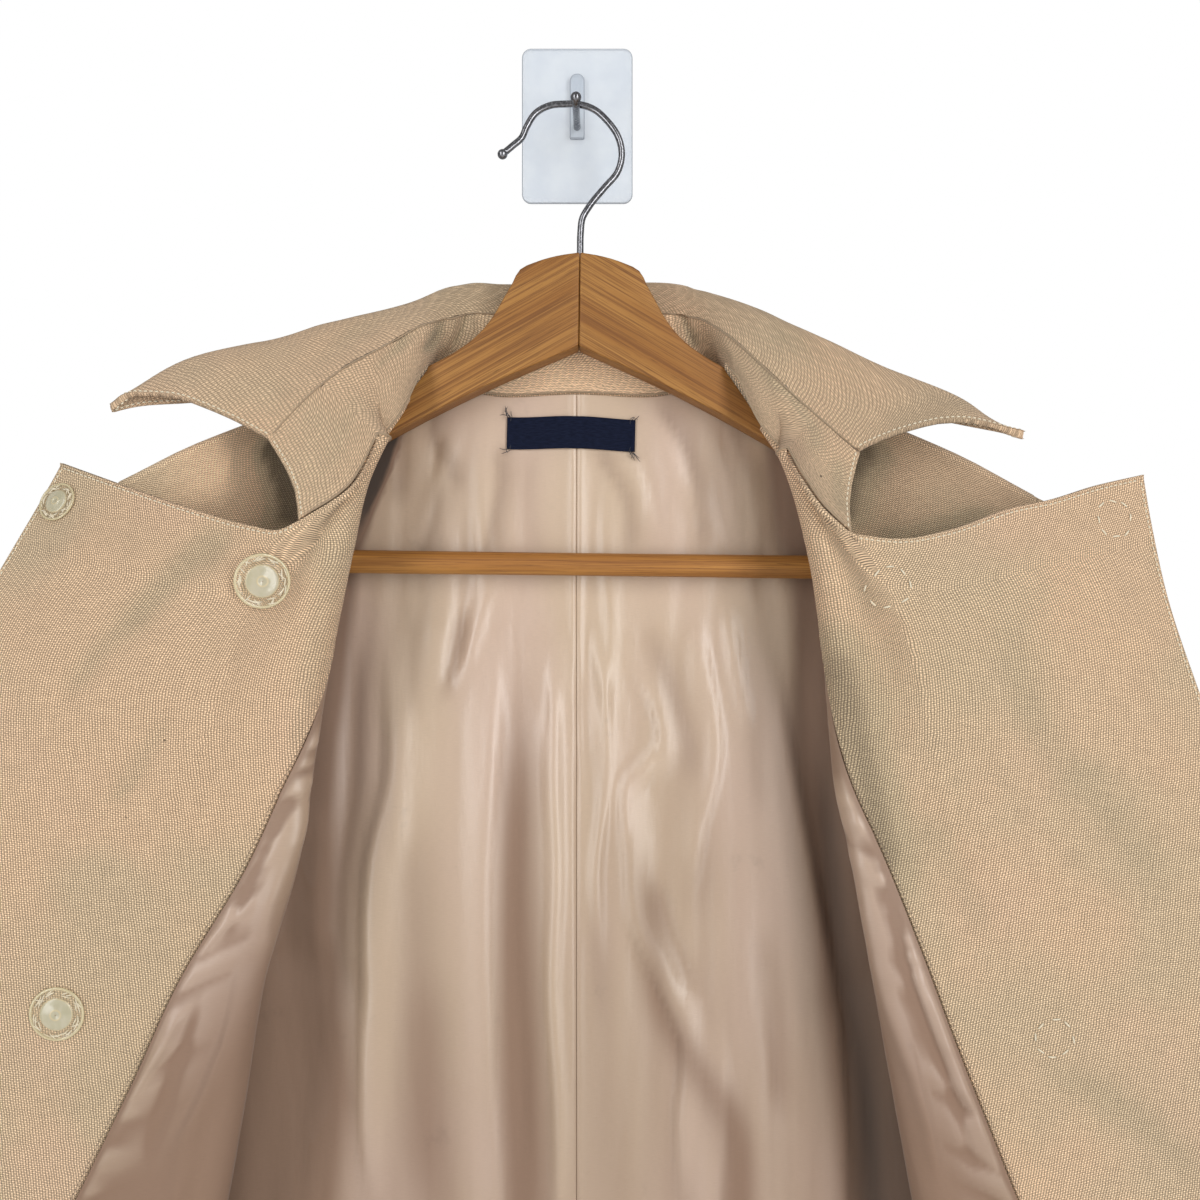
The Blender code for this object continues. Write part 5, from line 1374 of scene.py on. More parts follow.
def build_back(back):
    panel = Panel(back.at, -1, back_rise)
    u, v = grid(BACK_COLUMNS, BODY_ROWS)
    points, across, lift = panel.points(u, v)
    x, middle = points[..., 0], len(BACK_HALF) - 1
    centre = x[:, [middle]]
    groove = GROOVE_DEPTH * np.exp(-((x - centre) / GROOVE_HALF) ** 2)
    # The hollow attribute paints shade in the back's creases
    piece = wall("back_cloth", points, across, -CANVAS / 2 + groove, CANVAS / 2,
                 flat_place(points, 0), hollow_of(-lift))
    dress(piece, "canvas", "back_canvas")
    outer = points - across * (CANVAS / 2 + STITCH_WIDE / 4)
    sewn = [hem_stitch("hem_stitch_back", outer, -across[-1], 42)]
    for side, word in WORD.items():
        line = np.array([[np.interp(centre[i, 0] + side * SEAM_STITCH, x[i], outer[i, :, k])
                          for k in range(3)] for i in range(4, len(outer) - 2)])
        sewn.append(topstitch("back_seam_stitch_" + word, line, -across[4:-2, middle], 43 + side))
    cut_cloth(back.at(u, v))
    return panel


def ripples(x, z):
    """Small uneven upright waves of the satin."""
    chance = np.random.default_rng(57)
    total = np.zeros_like(x)
    for wave in (31, 23, 17, 13, 9.5, 7):
        lean, bend, start = chance.uniform(-0.10, 0.10), chance.uniform(0.10, 0.35), chance.uniform(0, 6.3)
        drift = x + lean * z + bend * wave * MM * np.sin(z / (wave * 3.3 * MM) + start)
        swell_here = 0.5 + 0.5 * np.sin(x / (wave * 4.1 * MM) + z / (wave * 6.5 * MM) + 2 * start)
        total += wave / 31 * 1.15 * MM * swell_here * np.sin(2 * math.pi * drift / (wave * MM) + start)
    return total


def below_bar(z):
    return ease((ROOM_LEVEL - z) / ROOM_SOFT)


def lining_height(points, v):
    """How far the back lining hangs off the canvas, with its soft upright folds."""
    x, z = points[..., 0], points[..., 2]
    low = below_bar(z)
    folds = crease_height(LINING_FOLDS, points) + ripples(x, z) * mix(0.45, 0.38, low)
    room = mix(*LINING_ROOM, low)
    height = soft_floor(mix(*LINING_REST, low) + folds * mix(1.0, 1.15, low))
    height = room * np.tanh(height / room)
    past = [ease((np.abs(place - middle) - half) / soft) for place, middle, half, soft
            in zip((x, z), LABEL_MIDDLE, CALM_HALF, CALM_SOFT)]
    calm = 0.12 + 0.88 * np.maximum(*past)
    return height * calm * ease((v - ARCH_ROWS) / 0.05) * ease((1.0 - v) / 0.012 + 0.25)


def deep_zone(side, x, z):
    """Share of painted shade deep beside a front's fold and towards the hem."""
    level, *columns = np.array(DEEP_ZONE[side]).T
    start, wide, deep = [np.interp(-z / MM, -level, column) for column in columns]
    inward = (side * x / MM - start) / wide
    return deep * ease(1 + inward) + 0.36 * ease((-0.27 - z) / 0.28)


def build_back_lining(panel):
    half = spread([LINING_EDGE, 0.12, 0.46, 0.493, 0.5 - LINING_SEAM], [8, 52, 8, 5])
    for side, word in WORD.items():
        columns = half if side == LEFT else 1 - half[::-1]
        u, v = grid(columns, BODY_ROWS[BODY_ROWS > ARCH_ROWS * 0.85])
        points, across, _ = panel.points(u, v)
        x, z = points[..., 0], points[..., 2]
        inward = np.abs(x - points[:, [-1 if side == LEFT else 0], 0])
        seam = RIDGE_RISE * np.exp(-((inward - RIDGE_IN) / RIDGE_HALF) ** 2) * ease(inward / MM)
        edge = LINING_EDGE if side == LEFT else 1 - LINING_EDGE
        height = (lining_height(points, v) + seam) * ease(np.abs(u - edge) / 0.05)
        # Painted shade on the lining: a little all over, more below the bar, in the sunk places between
        # folds, along the shade lines and deep beside the fronts
        sunk = (mix(*LINING_REST, below_bar(z)) - height) / SINK_DEPTH
        shade = np.clip(0.05 + 0.11 * ease((-0.24 - z) / 0.06) + sunk, 0, 0.5)
        shade = shade + crease_height(LINING_SHADES, points) / MM + deep_zone(side, x, z)
        piece = wall("lining_cloth_" + word, points, across, LAYER + height, LAYER + SATIN + height,
                     flat_place(points, 0), shade)
        dress(piece, "satin", "lining_back_" + word)
        cut_cloth(panel.surface(u, v))


def find(surface, x, z, guess):
    """Shares (u, v) at which a surface passes the given place, seen from the front."""
    u, v = guess
    step = 1e-4
    for _ in range(12):
        here = surface(u, v)
        along_u = (surface(u + step, v) - here) / step
        along_v = (surface(u, v + step) - here) / step
        matrix = np.array([[along_u[0], along_v[0]], [along_u[2], along_v[2]]])
        move = np.linalg.lstsq(matrix, np.array([x - here[0], z - here[2]]), rcond=None)[0]
        move = np.clip(move, -0.1, 0.1)
        u = float(np.clip(u + move[0], step, 1 - step))
        v = float(np.clip(v + move[1], step, 1 - 2 * step))
    return u, v


# Frayed ends at the label's corners: row, column, lean, number of hairs; then its tacks' places
LABEL_TUFTS = ((0, 2, (-0.5, 0.9), 7), (14, 2, (-0.7, -0.7), 4), (14, 45, (0.5, -0.9), 7),
               (0, 45, (0.8, 0.5), 4))
LABEL_TACKS = [(1, 3), (13, 3), (1, 44), (13, 44)]
# The label's thickness, where its threads start over it, its ripple, bow and turned ends
LABEL_CLOTH, LABEL_ABOVE = 0.6 * MM, 0.9 * MM
LABEL_RIPPLE, LABEL_BOW, LABEL_ENDS, LABEL_TURNED = 0.35 * MM, 0.5 * MM, 0.35 * MM, 0.045
HAIR_WIDE, TACK_LENGTH, TACK_WIDE = 0.34 * MM, 2.6 * MM, 0.4 * MM


def build_label(back, panel):
    """The bare woven neck label, sewn down at its corners, with its frayed thread ends."""
    columns = spread([-0.5, -0.46, 0.46, 0.5], [4, 40, 4])
    rows = np.linspace(0.5, -0.5, 15)
    c, s = math.cos(LABEL_TILT), math.sin(LABEL_TILT)
    corners = []
    for dz in (LABEL_HEIGHT / 2, -LABEL_HEIGHT / 2):
        ends = [find(back.at, LABEL_MIDDLE[0] + dx * c + dz * s, LABEL_MIDDLE[1] - dx * s + dz * c,
                     (0.5, 0.06)) for dx in (-LABEL_WIDTH / 2, LABEL_WIDTH / 2)]
        corners.append(np.array(ends))
    b, a = np.meshgrid(0.5 - rows, columns + 0.5, indexing="ij")
    top, low = [mix(left, right, a[..., None]) for left, right in corners]
    u, v = np.moveaxis(mix(top, low, b[..., None]), -1, 0)
    points, across, _ = panel.points(u, v)
    ripple = LABEL_RIPPLE * np.sin(a * 17.0 + 0.8) * np.sin(math.pi * b)
    ripple = ripple + LABEL_BOW * np.sin(math.pi * a) ** 2
    base = LAYER + SATIN + lining_height(points, v).max() + GAP + soft_floor(ripple)
    ends = LABEL_ENDS * sum(np.exp(-(c / LABEL_TURNED) ** 8) for c in (a, 1 - a))
    uv = np.stack([a * LABEL_WIDTH, b * LABEL_HEIGHT], axis=-1)
    piece = wall("label_cloth", points, across, base, base + LABEL_CLOTH + ends, uv)
    dress(piece, "label", "label")
    surface = points + across * (base + LABEL_ABOVE)[..., None]
    hairs = strands("label_threads", frayed_ends(surface), HAIR_WIDE)
    marks = tuple(zip(*LABEL_TACKS))
    tacks = stitch_mesh("label_tacks", surface[marks], [(0.2, 0, 1.0)] * len(LABEL_TACKS),
                        across[marks], TACK_LENGTH, TACK_WIDE)
    sewn = [dress(threads, "navy_thread") for threads in (hairs, tacks)]
    cut_cloth(panel.surface(u, v))


def frayed_ends(surface):
    """Lines of the short curved hairs at the label's corners."""
    lines, chance, t = [], np.random.default_rng(61), np.linspace(0, 1, 7)
    for i, j, lean, count in LABEL_TUFTS:
        for _ in range(count):
            start = surface[i, j] + chance.uniform(-1, 1, 3) * np.array([1.5, 0.0, 0.6]) * MM
            reach = chance.uniform(1.2, 4.2) * MM
            bend = chance.uniform(-0.8, 0.8, 2)
            dx, dz = [(lean[k] * t + bend[k] * t * t) * reach for k in (0, 1)]
            lines.append(start + stack(dx, -1.1 * MM * np.sin(math.pi * t) - 0.3 * MM, dz))
    return lines


def strands(name, lines, width, sides=5):
    """Thin round threads along lists of points, in one mesh."""
    vertices, faces, start = [], [], 0
    c, s = circle(sides)
    for line in lines:
        ahead = unit(np.gradient(line, axis=0))
        first = unit(np.cross(ahead, np.array([0.13, 1.0, 0.21])))
        second = np.cross(ahead, first)
        thick = np.full((len(line), 1, 1), width / 2)
        thick[[0, -1]] *= 0.45
        rings = line[:, None] + (first[:, None] * c + second[:, None] * s) * thick
        vertices.append(rings.reshape(-1, 3))
        faces.append(tube_faces(len(line), sides, start))
        start += len(line) * sides
    return new_mesh(name, np.concatenate(vertices), np.concatenate(faces))


# Collar

# How far the stand's lower edge laps out, at each station from the back to the notch
STAND_LAP = [0, 0, 0, 0, 0.2, 0.6, 0.8, 0.5, 0.1, 0]
# Painted shade on the stand: a line across and level in millimetres, half width and strength
STAND_SHADE = [
    ([(84, -118), (98, -140), (112, -170), (122, -198)], 7, 0.9),
    ([(128, -186), (126, -206), (128, -220)], 5, 0.7),
    ([(-72, -110), (-80, -124), (-90, -140)], 7, 0.6),
    ([(-104, -150), (-112, -176), (-116, -200)], 6, 0.5),
    ([(48, -104), (56, -114), (64, -126)], 6, 0.7),
]
# How far the collar's ends are drawn in, by height up the stand and on over the fall
STAND_END = ([0, 0.15, 0.3, 0.54, 0.79, 1], [0, 0.003, 0.0056, 0.006, 0.0036, 0])
FALL_END = ([0, 0.06, 0.12, 0.18, 0.25, 0.30, 0.36, 0.45, 0.86, 0.90, 0.94, 0.965, 0.985, 1],
            [0, 0.0005, 0.003, 0.005, 0.0065, 0.006, 0.003, 0, 0, 0.0006, 0.0026, 0.0055, 0.0095, 0.015])
# The collar's ends, and whether each is the last column of a grid
COLLAR_ENDS = (("left", False), ("right", True))
# Half width of the split between the two layers at the rims of the stand and of the fall
STAND_SPLIT, FALL_SPLIT = 0.25 * MM, 0.35 * MM
# The stand's seams: their place from its rims, how far they stand out, and their width
CORD_IN, CORD_LIFT, CORD_WIDE = 0.35 * MM, 0.10 * MM, 0.9 * MM
# How much thicker the fall's tips are, and how far that reaches
TIP_RISE, TIP_REACH = 0.9 * MM, 11 * MM


def fall_rise(u, w, base):
    return crease_height(FALL_CREASES, base)


def stand_rise(u, w, base):
    """Gathers, and the lower edge lapped a little over the fronts' necklines."""
    station = np.abs(2 * u - 1) * (len(STAND_LIFT) - 1)
    lap = np.interp(station, range(len(STAND_LAP)), STAND_LAP) * MM * (1 - w) ** 2
    return lap + crease_height(STAND_CREASES, base)


def shape_ends(u, w, table):
    """Draws the ends of a collar grid in, to its curved notch edge and blunt tips."""
    draw = np.interp(w, *table) * np.clip((np.abs(2 * u - 1) - 0.8) / 0.2, 0, 1)
    return u + np.where(u < 0.5, draw, -draw)


def turned_place(points, turn):
    """Flat places on a grid of points, turned to the lie of the collar's threads."""
    a, b = lengths(points, 1), lengths(points, 0)
    return np.stack([a * math.cos(turn) - b * math.sin(turn), a * math.sin(turn) + b * math.cos(turn)],
                    axis=-1)


def build_collar(fronts):
    collar = Collar(fronts)
    build_stand(collar)
    build_fall(collar)


def build_stand(collar):
    half = spread([0, 4, 6, 8, 9], [26, 18, 26, 12]) / 18
    columns = np.concatenate([0.5 - half[::-1], 0.5 + half[1:]])
    u, w = grid(columns, spread([0, 0.06, 0.94, 1], [3, 14, 3]))
    u = shape_ends(u, w, STAND_END)
    points, across, lift = Panel(collar.stand, 1, stand_rise).points(u, w)
    # The stand's hollow attribute: painted light on its middle behind the neck, painted shade in its
    # creases and along the stand's shade lines
    painted_light = 1.7 * ease((0.13 - np.abs(u - 0.5)) / 0.05)
    shade = hollow_of(lift * 2) - painted_light + crease_height(STAND_SHADE, points) / MM
    piece = wall("collar_stand_cloth", points, across, -STAND_CLOTH / 2, STAND_CLOTH / 2,
                 turned_place(points, 0.0), shade, split=STAND_SPLIT)
    dress(piece, "collar_canvas", "collar_stand")
    surface = points + across * (STAND_CLOTH / 2 + 0.05 * MM)
    for name, last in (("stand_seam_low", False), ("stand_seam_high", True)):
        line = inset_line(surface.transpose(1, 0, 2), CORD_IN, last=last)
        line = line + across[-1 if last else 0] * CORD_LIFT
        dress(strands(name, [line[2:-2]], CORD_WIDE, 6), "canvas_seam")
    for end, last in COLLAR_ENDS:
        line = inset_line(surface, STITCH_IN, last=last)
        topstitch("stand_end_" + end, line[1:-1], across[1:-1, -1 if last else 0], 78)
    cut_cloth(collar.stand(u, w))


def build_fall(collar):
    columns = spread([0, 0.008, 0.992, 1], [5, 170, 5])
    rows = spread([0, 0.03, 0.28, 0.46, 0.97, 1], [4, 12, 16, 24, 9])
    u, w = grid(columns, rows)
    u = shape_ends(u, w, FALL_END)
    points, across, lift = Panel(collar.fall, 1, fall_rise).points(u, w)
    from_free = lengths(points[::-1], 0)[::-1]
    from_end = np.minimum(lengths(points, 1), lengths(points[:, ::-1], 1)[:, ::-1])
    blunt = TIP_RISE * np.exp(-(np.hypot(from_free, from_end) / TIP_REACH) ** 2)
    high = FALL_CLOTH / 2 + puff(np.minimum(from_free, from_end)) + blunt
    # The hollow attribute paints shade in the fall's creases
    piece = wall("collar_fall_cloth", points, across, -high, high, turned_place(points, 0.35),
                 hollow_of(lift), split=FALL_SPLIT)
    dress(piece, "collar_canvas", "collar_fall")
    for word, face, seed in (("outer", 1, 71), ("inner", -1, 72)):
        surface = points + face * across * (high + STITCH_WIDE / 4)[..., None]
        line = inset_line(surface.transpose(1, 0, 2), STITCH_IN)
        topstitch("collar_topstitch_" + word, line[3:-3], face * across[-1, 3:-3], seed)
        for end, last in COLLAR_ENDS:
            line = inset_line(surface, STITCH_IN, last=last)
            out = face * across[:, -1 if last else 0]
            topstitch(f"collar_end_{end}_{word}", line[2:-4], out[2:-4], seed + 3)
    cut_cloth(collar.fall(u, w))


# Sleeves

def sleeve_rings(side, count, angles):
    """Rings of a whole sleeve, its two halves joined, from the inner seam round and back."""
    turn = (angles - math.pi) / math.pi
    level = np.linspace(0, 1, count)[:, None]
    inward = np.where(turn < 1, 1 - turn, turn - 1)
    halves = [Sleeve(side, face).at(inward[None], level) for face in (-1, 1)]
    return np.where((turn < 1)[None, :, None], halves[1], halves[0])


# Half the opening of the sleeve's own seam, as an angle
SLEEVE_SEAM = 0.012
SLEEVE_CREASES = [
    # level at the outer line, level at the inner line, half width, rise
    (-262, -420, 8, 1.8),
    (-300, -436, 7, -1.8),
    (-356, -452, 9, 1.6),
    (-470, -452, 8, -1.8),
    (-500, -520, 9, 2.0),
    (-538, -506, 7, -1.6),
    (-566, -590, 8, 1.4),
    (-690, -640, 11, -1.4),
]


def outward(points, centre):
    """Unit normals of a sleeve's rings, away from their centres."""
    out = unit(np.cross(np.gradient(points, axis=1), np.gradient(points, axis=0)))
    return -out if np.mean(np.sum(out * (points - centre), axis=-1)) < 0 else out


def build_sleeve(side):
    word = WORD[side]
    angles = np.linspace(math.pi + SLEEVE_SEAM, 3 * math.pi - SLEEVE_SEAM, 61)
    smooth_points = sleeve_rings(side, 104, angles)
    centre = smooth_points.mean(axis=1, keepdims=True)
    share = (1 - np.cos(angles)) / 2
    lift = np.zeros(smooth_points.shape[:2])
    for outer_level, inner_level, half_width, rise in SLEEVE_CREASES:
        level = mix(outer_level, inner_level, share)[None] * MM
        lean = 8 * MM * np.sin(angles * 2 + outer_level)[None]
        wax = 0.55 + 0.45 * np.sin(angles + outer_level / 40.0)[None]
        away = (smooth_points[..., 2] - level - lean) / (half_width * MM)
        lift += rise * MM * wax * np.exp(-away ** 2)
    points = smooth_points + outward(smooth_points, centre) * lift[..., None]
    out = outward(points, centre)
    uv = np.stack([lengths(points, 1), points[..., 2]], axis=-1)
    # The hollow attribute paints shade in the sleeve's creases
    piece = wall("sleeve_cloth_" + word, points, out, -CANVAS / 2, CANVAS / 2, uv, hollow_of(lift))
    dress(piece, "canvas", "sleeve_top_" + word, "sleeve_under_" + word)
    surface = points + out * (CANVAS / 2 + STITCH_WIDE / 4)
    sewn = [hem_stitch("cuff_stitch_" + word, surface, out[-1], 81)]
    cut_cloth(smooth_points)


# Snaps and thread rings

# Sides of a snap, and how far it stays off the creased cloth
SNAP_SIDES, SNAP_LIFT = 56, 0.05 * MM
# Threads seen in a snap: groups, length as a share of its radius, width
SEWN_GROUPS, SEWN_LENGTH, SEWN_WIDE = 9, 0.34, 0.62 * MM
# A ring's stitches: how many, length, width, and how far they stand off the facing's middle
RING_STITCHES, RING_STITCH, RING_WIDE, RING_LIFT = 8, 4.0 * MM, 0.95 * MM, 0.32 * MM


def turned_mesh(name, profile, sides):
    """A turned skin from rows of radius, height and share of clearness."""
    c, s = circle(sides)
    vertices = np.concatenate([np.hstack([radius * c, radius * s, np.full_like(c, height)])
                               for radius, height, _ in profile])
    values = np.repeat([clear for _, _, clear in profile], sides)
    faces = tube_faces(len(profile), sides)[:, [0, 3, 2, 1]]
    return new_mesh(name, vertices, faces, values=values)


def snap_profile(r):
    """From under the rim, over it and its clear zone, up the middle dome to its small ring."""
    rows = [(0.90, 0.0, 0.5), (0.975, 0.15, 0.5), (1.0, 0.5, 0.5), (0.985, 0.9, 0.5), (0.945, 1.1, 0.55),
            (0.90, 1.05, 0.8), (0.86, 0.8, 1.0), (0.80, 0.7, 1.0), (0.66, 0.7, 1.0), (0.61, 0.9, 0.9),
            (0.58, 1.35, 0.5), (0.54, 1.6, 0.2), (0.46, 1.7, 0.1), (0.36, 1.85, 0.0), (0.26, 1.95, 0.0),
            (0.20, 2.2, 0.5), (0.16, 2.25, 0.5), (0.12, 2.05, 0.0), (0.02, 1.9, 0.0)]
    return [(a * r, b * MM, c) for a, b, c in rows]


def seat_height(front, panel, u, v, here, out, r):
    """How far the creased panel stands out, along out, under a disc of the radius."""
    wide = 2.2 * r / np.linalg.norm((front.at(u + 1e-3, v) - front.at(u - 1e-3, v)) / 2e-3)
    high = 2.2 * r / np.linalg.norm((front.at(u, v + 1e-3) - front.at(u, v - 1e-3)) / 2e-3)
    share = np.linspace(-1, 1, 41)
    spots, _, _ = panel.points(*grid(u + wide * share, np.clip(v + high * share, 0.001, 0.999)))
    offsets = spots - here
    heights = offsets @ out
    reach = np.linalg.norm(offsets - heights[..., None] * out, axis=-1)
    return float(heights[(reach < 1.02 * r) & (np.abs(heights) < r)].max())


def build_snaps(side, front, panel):
    word = WORD[side]
    base = LAYER + CANVAS + GAP if side == LEFT else CANVAS / 2
    for number, (x, z, width) in enumerate(FRONTS[side]["snaps"], 1):
        u, v = find(front.at, x * MM, z * MM, (0.7, 0.2))
        here = panel.points(np.array([u]), np.array([v]))[0][0]
        out = normals(front.at, np.array(u), np.array(v))
        r = width / 2
        first = unit(np.cross(out, np.array([0.0, 0.0, 1.0])))
        turn = np.stack([first, np.cross(out, first), out], axis=1)
        seat = here + out * (base + seat_height(front, panel, u, v, here, out, r) + SNAP_LIFT)
        piece = turned_mesh(f"press_snap_{word}_{number}", snap_profile(r), SNAP_SIDES)
        place_mesh(piece, turn, seat)
        dress(piece, "snap", f"snap_{word}_{number}")
        chance = np.random.default_rng(90 + number + (10 if side == RIGHT else 0))
        snap_threads(f"snap_thread_{word}_{number}", r, turn, seat, chance)
        if side == RIGHT:
            thread_ring(f"thread_ring_{number}", front, panel, u, v, chance)


def snap_threads(name, r, turn, seat, chance):
    """The sewing threads seen through a snap's clear zone, in loose groups round it."""
    places, ahead = [], []
    for k in range(SEWN_GROUPS):
        angle = 2 * math.pi * (k + chance.uniform(-0.2, 0.2)) / SEWN_GROUPS
        for _ in range(int(chance.integers(3, 6))):
            a = angle + chance.normal(0, 0.13)
            reach = chance.uniform(0.70, 0.88) * r
            places.append((reach * math.cos(a), reach * math.sin(a), chance.uniform(0.3, 0.9) * MM))
            lean = a + math.pi / 2 + chance.normal(0, 0.45)
            ahead.append((math.cos(lean), math.sin(lean), chance.uniform(-0.15, 0.15)))
    outs = np.repeat(turn[None, :, 2], len(places), axis=0)
    dress(stitch_mesh(name, np.array(places) @ turn.T + seat, np.array(ahead) @ turn.T, outs,
                      SEWN_LENGTH * r, SEWN_WIDE), "thread")


def places_of(piece):
    flat = np.empty(len(piece.data.vertices) * 3, np.float32)
    piece.data.vertices.foreach_get("co", flat)
    return flat.reshape(-1, 3)


def place_mesh(piece, turn, seat):
    moved = places_of(piece) @ turn.T + seat
    piece.data.vertices.foreach_set("co", moved.astype(np.float32).ravel())
    piece.data.update()


def thread_ring(name, front, panel, u, v, chance):
    """The short stitches of a snap that show through on the facing."""
    here = front.at(u, v)
    places, ahead, outs = [], [], []
    for k in range(RING_STITCHES):
        angle = 2 * math.pi * (k + chance.uniform(-0.15, 0.15)) / RING_STITCHES
        radius = chance.uniform(8.4, 9.4) * MM
        x, z = here[0] + radius * math.cos(angle), here[2] + radius * math.sin(angle)
        a, b = find(front.at, x, z, (u, v))
        spot, across, _ = panel.points(np.array([a]), np.array([b]))
        places.append(spot[0] + across[0] * (LAYER + CANVAS + RING_LIFT))
        lean = angle + math.pi / 2 + chance.uniform(-0.3, 0.3)
        ahead.append((math.cos(lean), 0, math.sin(lean)))
        outs.append(across[0])
    dress(stitch_mesh(name, places, ahead, outs, RING_STITCH, RING_WIDE), "thread")


# Hanger, hooks and plate

# Lean of the arms' grain, where the bar's grain is cut from, and how uneven the bar is
ARM_LEAN, BAR_GRAIN, BAR_SWELL = math.radians(-30), 3.0, 0.012
# Rounding of the arms' edges and of the plate's, and its steps
WOOD_ROUND, PLATE_ROUND, BEVEL_STEPS = 1.0 * MM, 0.9 * MM, 4
# Turn between two faces from which their edge is rounded, and from which it is shaded sharp
ROUNDED_FROM, SHARP_FROM = math.radians(50), math.radians(35)
# Level of the middle of the hanger hook's wire at its top
HOOK_UNDER = 1.6 * MM
# A clear face belongs to the rim where its normal points less than this straight off the wall
RIM_FACE = 0.93


def wood_arm(side):
    line = [*flat_line(ARM_TOP, 70), *flat_line(ARM_LOW, 46)[::-1]]
    outline = [(side * max(x, GAP / 2), z) for x, _, z in line]
    piece = slab("wood_arm_" + WORD[side], outline, WOOD / 2, -WOOD / 2, WOOD_ROUND)
    x, y, z = places_of(piece).T
    c, s = math.cos(ARM_LEAN), math.sin(ARM_LEAN)
    set_grain(piece, np.stack([x * side * c + z * s + side, z * c - x * side * s, y], axis=1))
    set_hanger_place(piece)
    return dress(piece, "wood", "hanger_arm_" + WORD[side])


def set_grain(piece, values):
    held = piece.data.attributes.new("grain", "FLOAT_VECTOR", "POINT")
    held.data.foreach_set("vector", np.asarray(values, np.float32).ravel())


def set_hanger_place(piece):
    """Moves a piece from the hanger's own place, below its head's top, into the frame."""
    c, s = math.cos(HANGER_TILT), math.sin(HANGER_TILT)
    turn = np.array([[c, 0, s], [0, 1, 0], [-s, 0, c]])
    place_mesh(piece, turn, np.array([HANGER_MIDDLE, HANGER_OFF, HANGER_TOP]))


def wire(name, points, radii, sides=28):
    """A round bar along points with a radius at each."""
    ahead = unit(np.gradient(points, axis=0))
    rings = []
    c, s = circle(sides)
    first = np.array([0.0, 1.0, 0.0]) if abs(ahead[0][1]) < 0.7 else np.array([1.0, 0.0, 0.0])
    for point, forward, radius in zip(points, ahead, radii):
        first = unit(first - forward * np.dot(first, forward))
        rings.append(point + radius * (c * first + s * np.cross(forward, first)))
    return new_mesh(name, np.concatenate(rings), tube_faces(len(points), sides))


def ball_end(points, radius, ball):
    """Stations of a ball on the first point of a bar, then the bar itself."""
    start, ahead = points[0], unit(points[1] - points[0])
    stations, radii = [], []
    for angle in np.linspace(math.pi * 0.985, math.asin(radius / ball), 14):
        stations.append(start + ahead * ball * math.cos(angle))
        radii.append(max(ball * math.sin(angle), 0.02 * ball))
    rest = points[np.linalg.norm(points - start, axis=1) > ball]
    return np.concatenate([stations, rest]), np.array(radii + [radius] * len(rest))


def arc(x, z, radius, angles):
    return [(x + radius * math.cos(a), z + radius * math.sin(a)) for a in map(math.radians, angles)]


def build_hardware():
    for side in WORD:
        wood_arm(side)
    bar_points = np.array([(x, 0, BAR_LEVEL) for x in np.linspace(-BAR_REACH, BAR_REACH, 120)])
    swell = 1 + BAR_SWELL * np.sin(np.linspace(0, 9, 120))
    bar = wire("wood_bar", bar_points, BAR_WIDTH / 2 * swell, 32)
    set_grain(bar, places_of(bar) + np.array([BAR_GRAIN, 0, 0]))
    set_hanger_place(bar)
    dress(bar, "wood_bar", "hanger_bar")

    line = flat_line(HOOK_LINE, 150, HANGER_OFF / MM)
    foot = np.array([[HANGER_MIDDLE, HANGER_OFF, HANGER_TOP - HOOK_DEPTH]])
    points, radii = ball_end(np.concatenate([line, foot]), WIRE / 2, 0.75 * WIRE)
    dress(wire("steel_hook", points, radii), "steel", "hanger_hook")

    seat = (HOOK_UNDER - WIRE / 2 - GAP - WALL_HOOK_WIRE / 2) / MM
    root = (-PLATE_THICK - BOSS_THICK - GAP) / MM
    lie = HANGER_OFF / MM - 7
    rows = [(0, root, seat), (0, -12, seat), (0, -20, seat), (0, lie, seat), (0, lie - 3, seat + 1.0),
            (0, lie - 4.2, seat + 3)]
    line = Line(rows).at(np.linspace(0, 1, 40))[::-1]
    points, radii = ball_end(line, WALL_HOOK_WIRE / 2, BALL / 2)
    dress(wire("steel_wall_hook", points, radii), "steel", "wall_hook")

    outline = []
    reach, rise = PLATE_WIDTH / 2 - PLATE_CORNER, PLATE_HEIGHT / 2 - PLATE_CORNER
    for cx, cz, start in ((1, 1, 0), (-1, 1, 90), (-1, -1, 180), (1, -1, 270)):
        outline += arc(cx * reach, cz * rise, PLATE_CORNER, np.linspace(start, start + 90, 14))
    plate = slab("plate_clear", outline, 0.0, -PLATE_THICK, PLATE_ROUND)
    dress(plate, "clear", "wall_plate")
    edge_faces(plate)
    half = BOSS_WIDTH / 2
    arch = [(half, BOSS_LOW)] + arc(0, BOSS_TOP - half, half, range(0, 181, 12)) + [(-half, BOSS_LOW)]
    tab = slab("plate_tab", arch, -PLATE_THICK - 0.02 * MM, -PLATE_THICK - BOSS_THICK, PLATE_ROUND)
    dress(tab, "clear")
    edge_faces(tab)


def edge_faces(piece):
    """Gives the rounded rim of a clear piece its greyer edge: painted shade for the darker look of clear
    plastic at its rims.
    """
    piece.data.materials.append(FINISHES["clear_edge"])
    for face in piece.data.polygons:
        if abs(face.normal.y) < RIM_FACE:
            face.material_index = 1


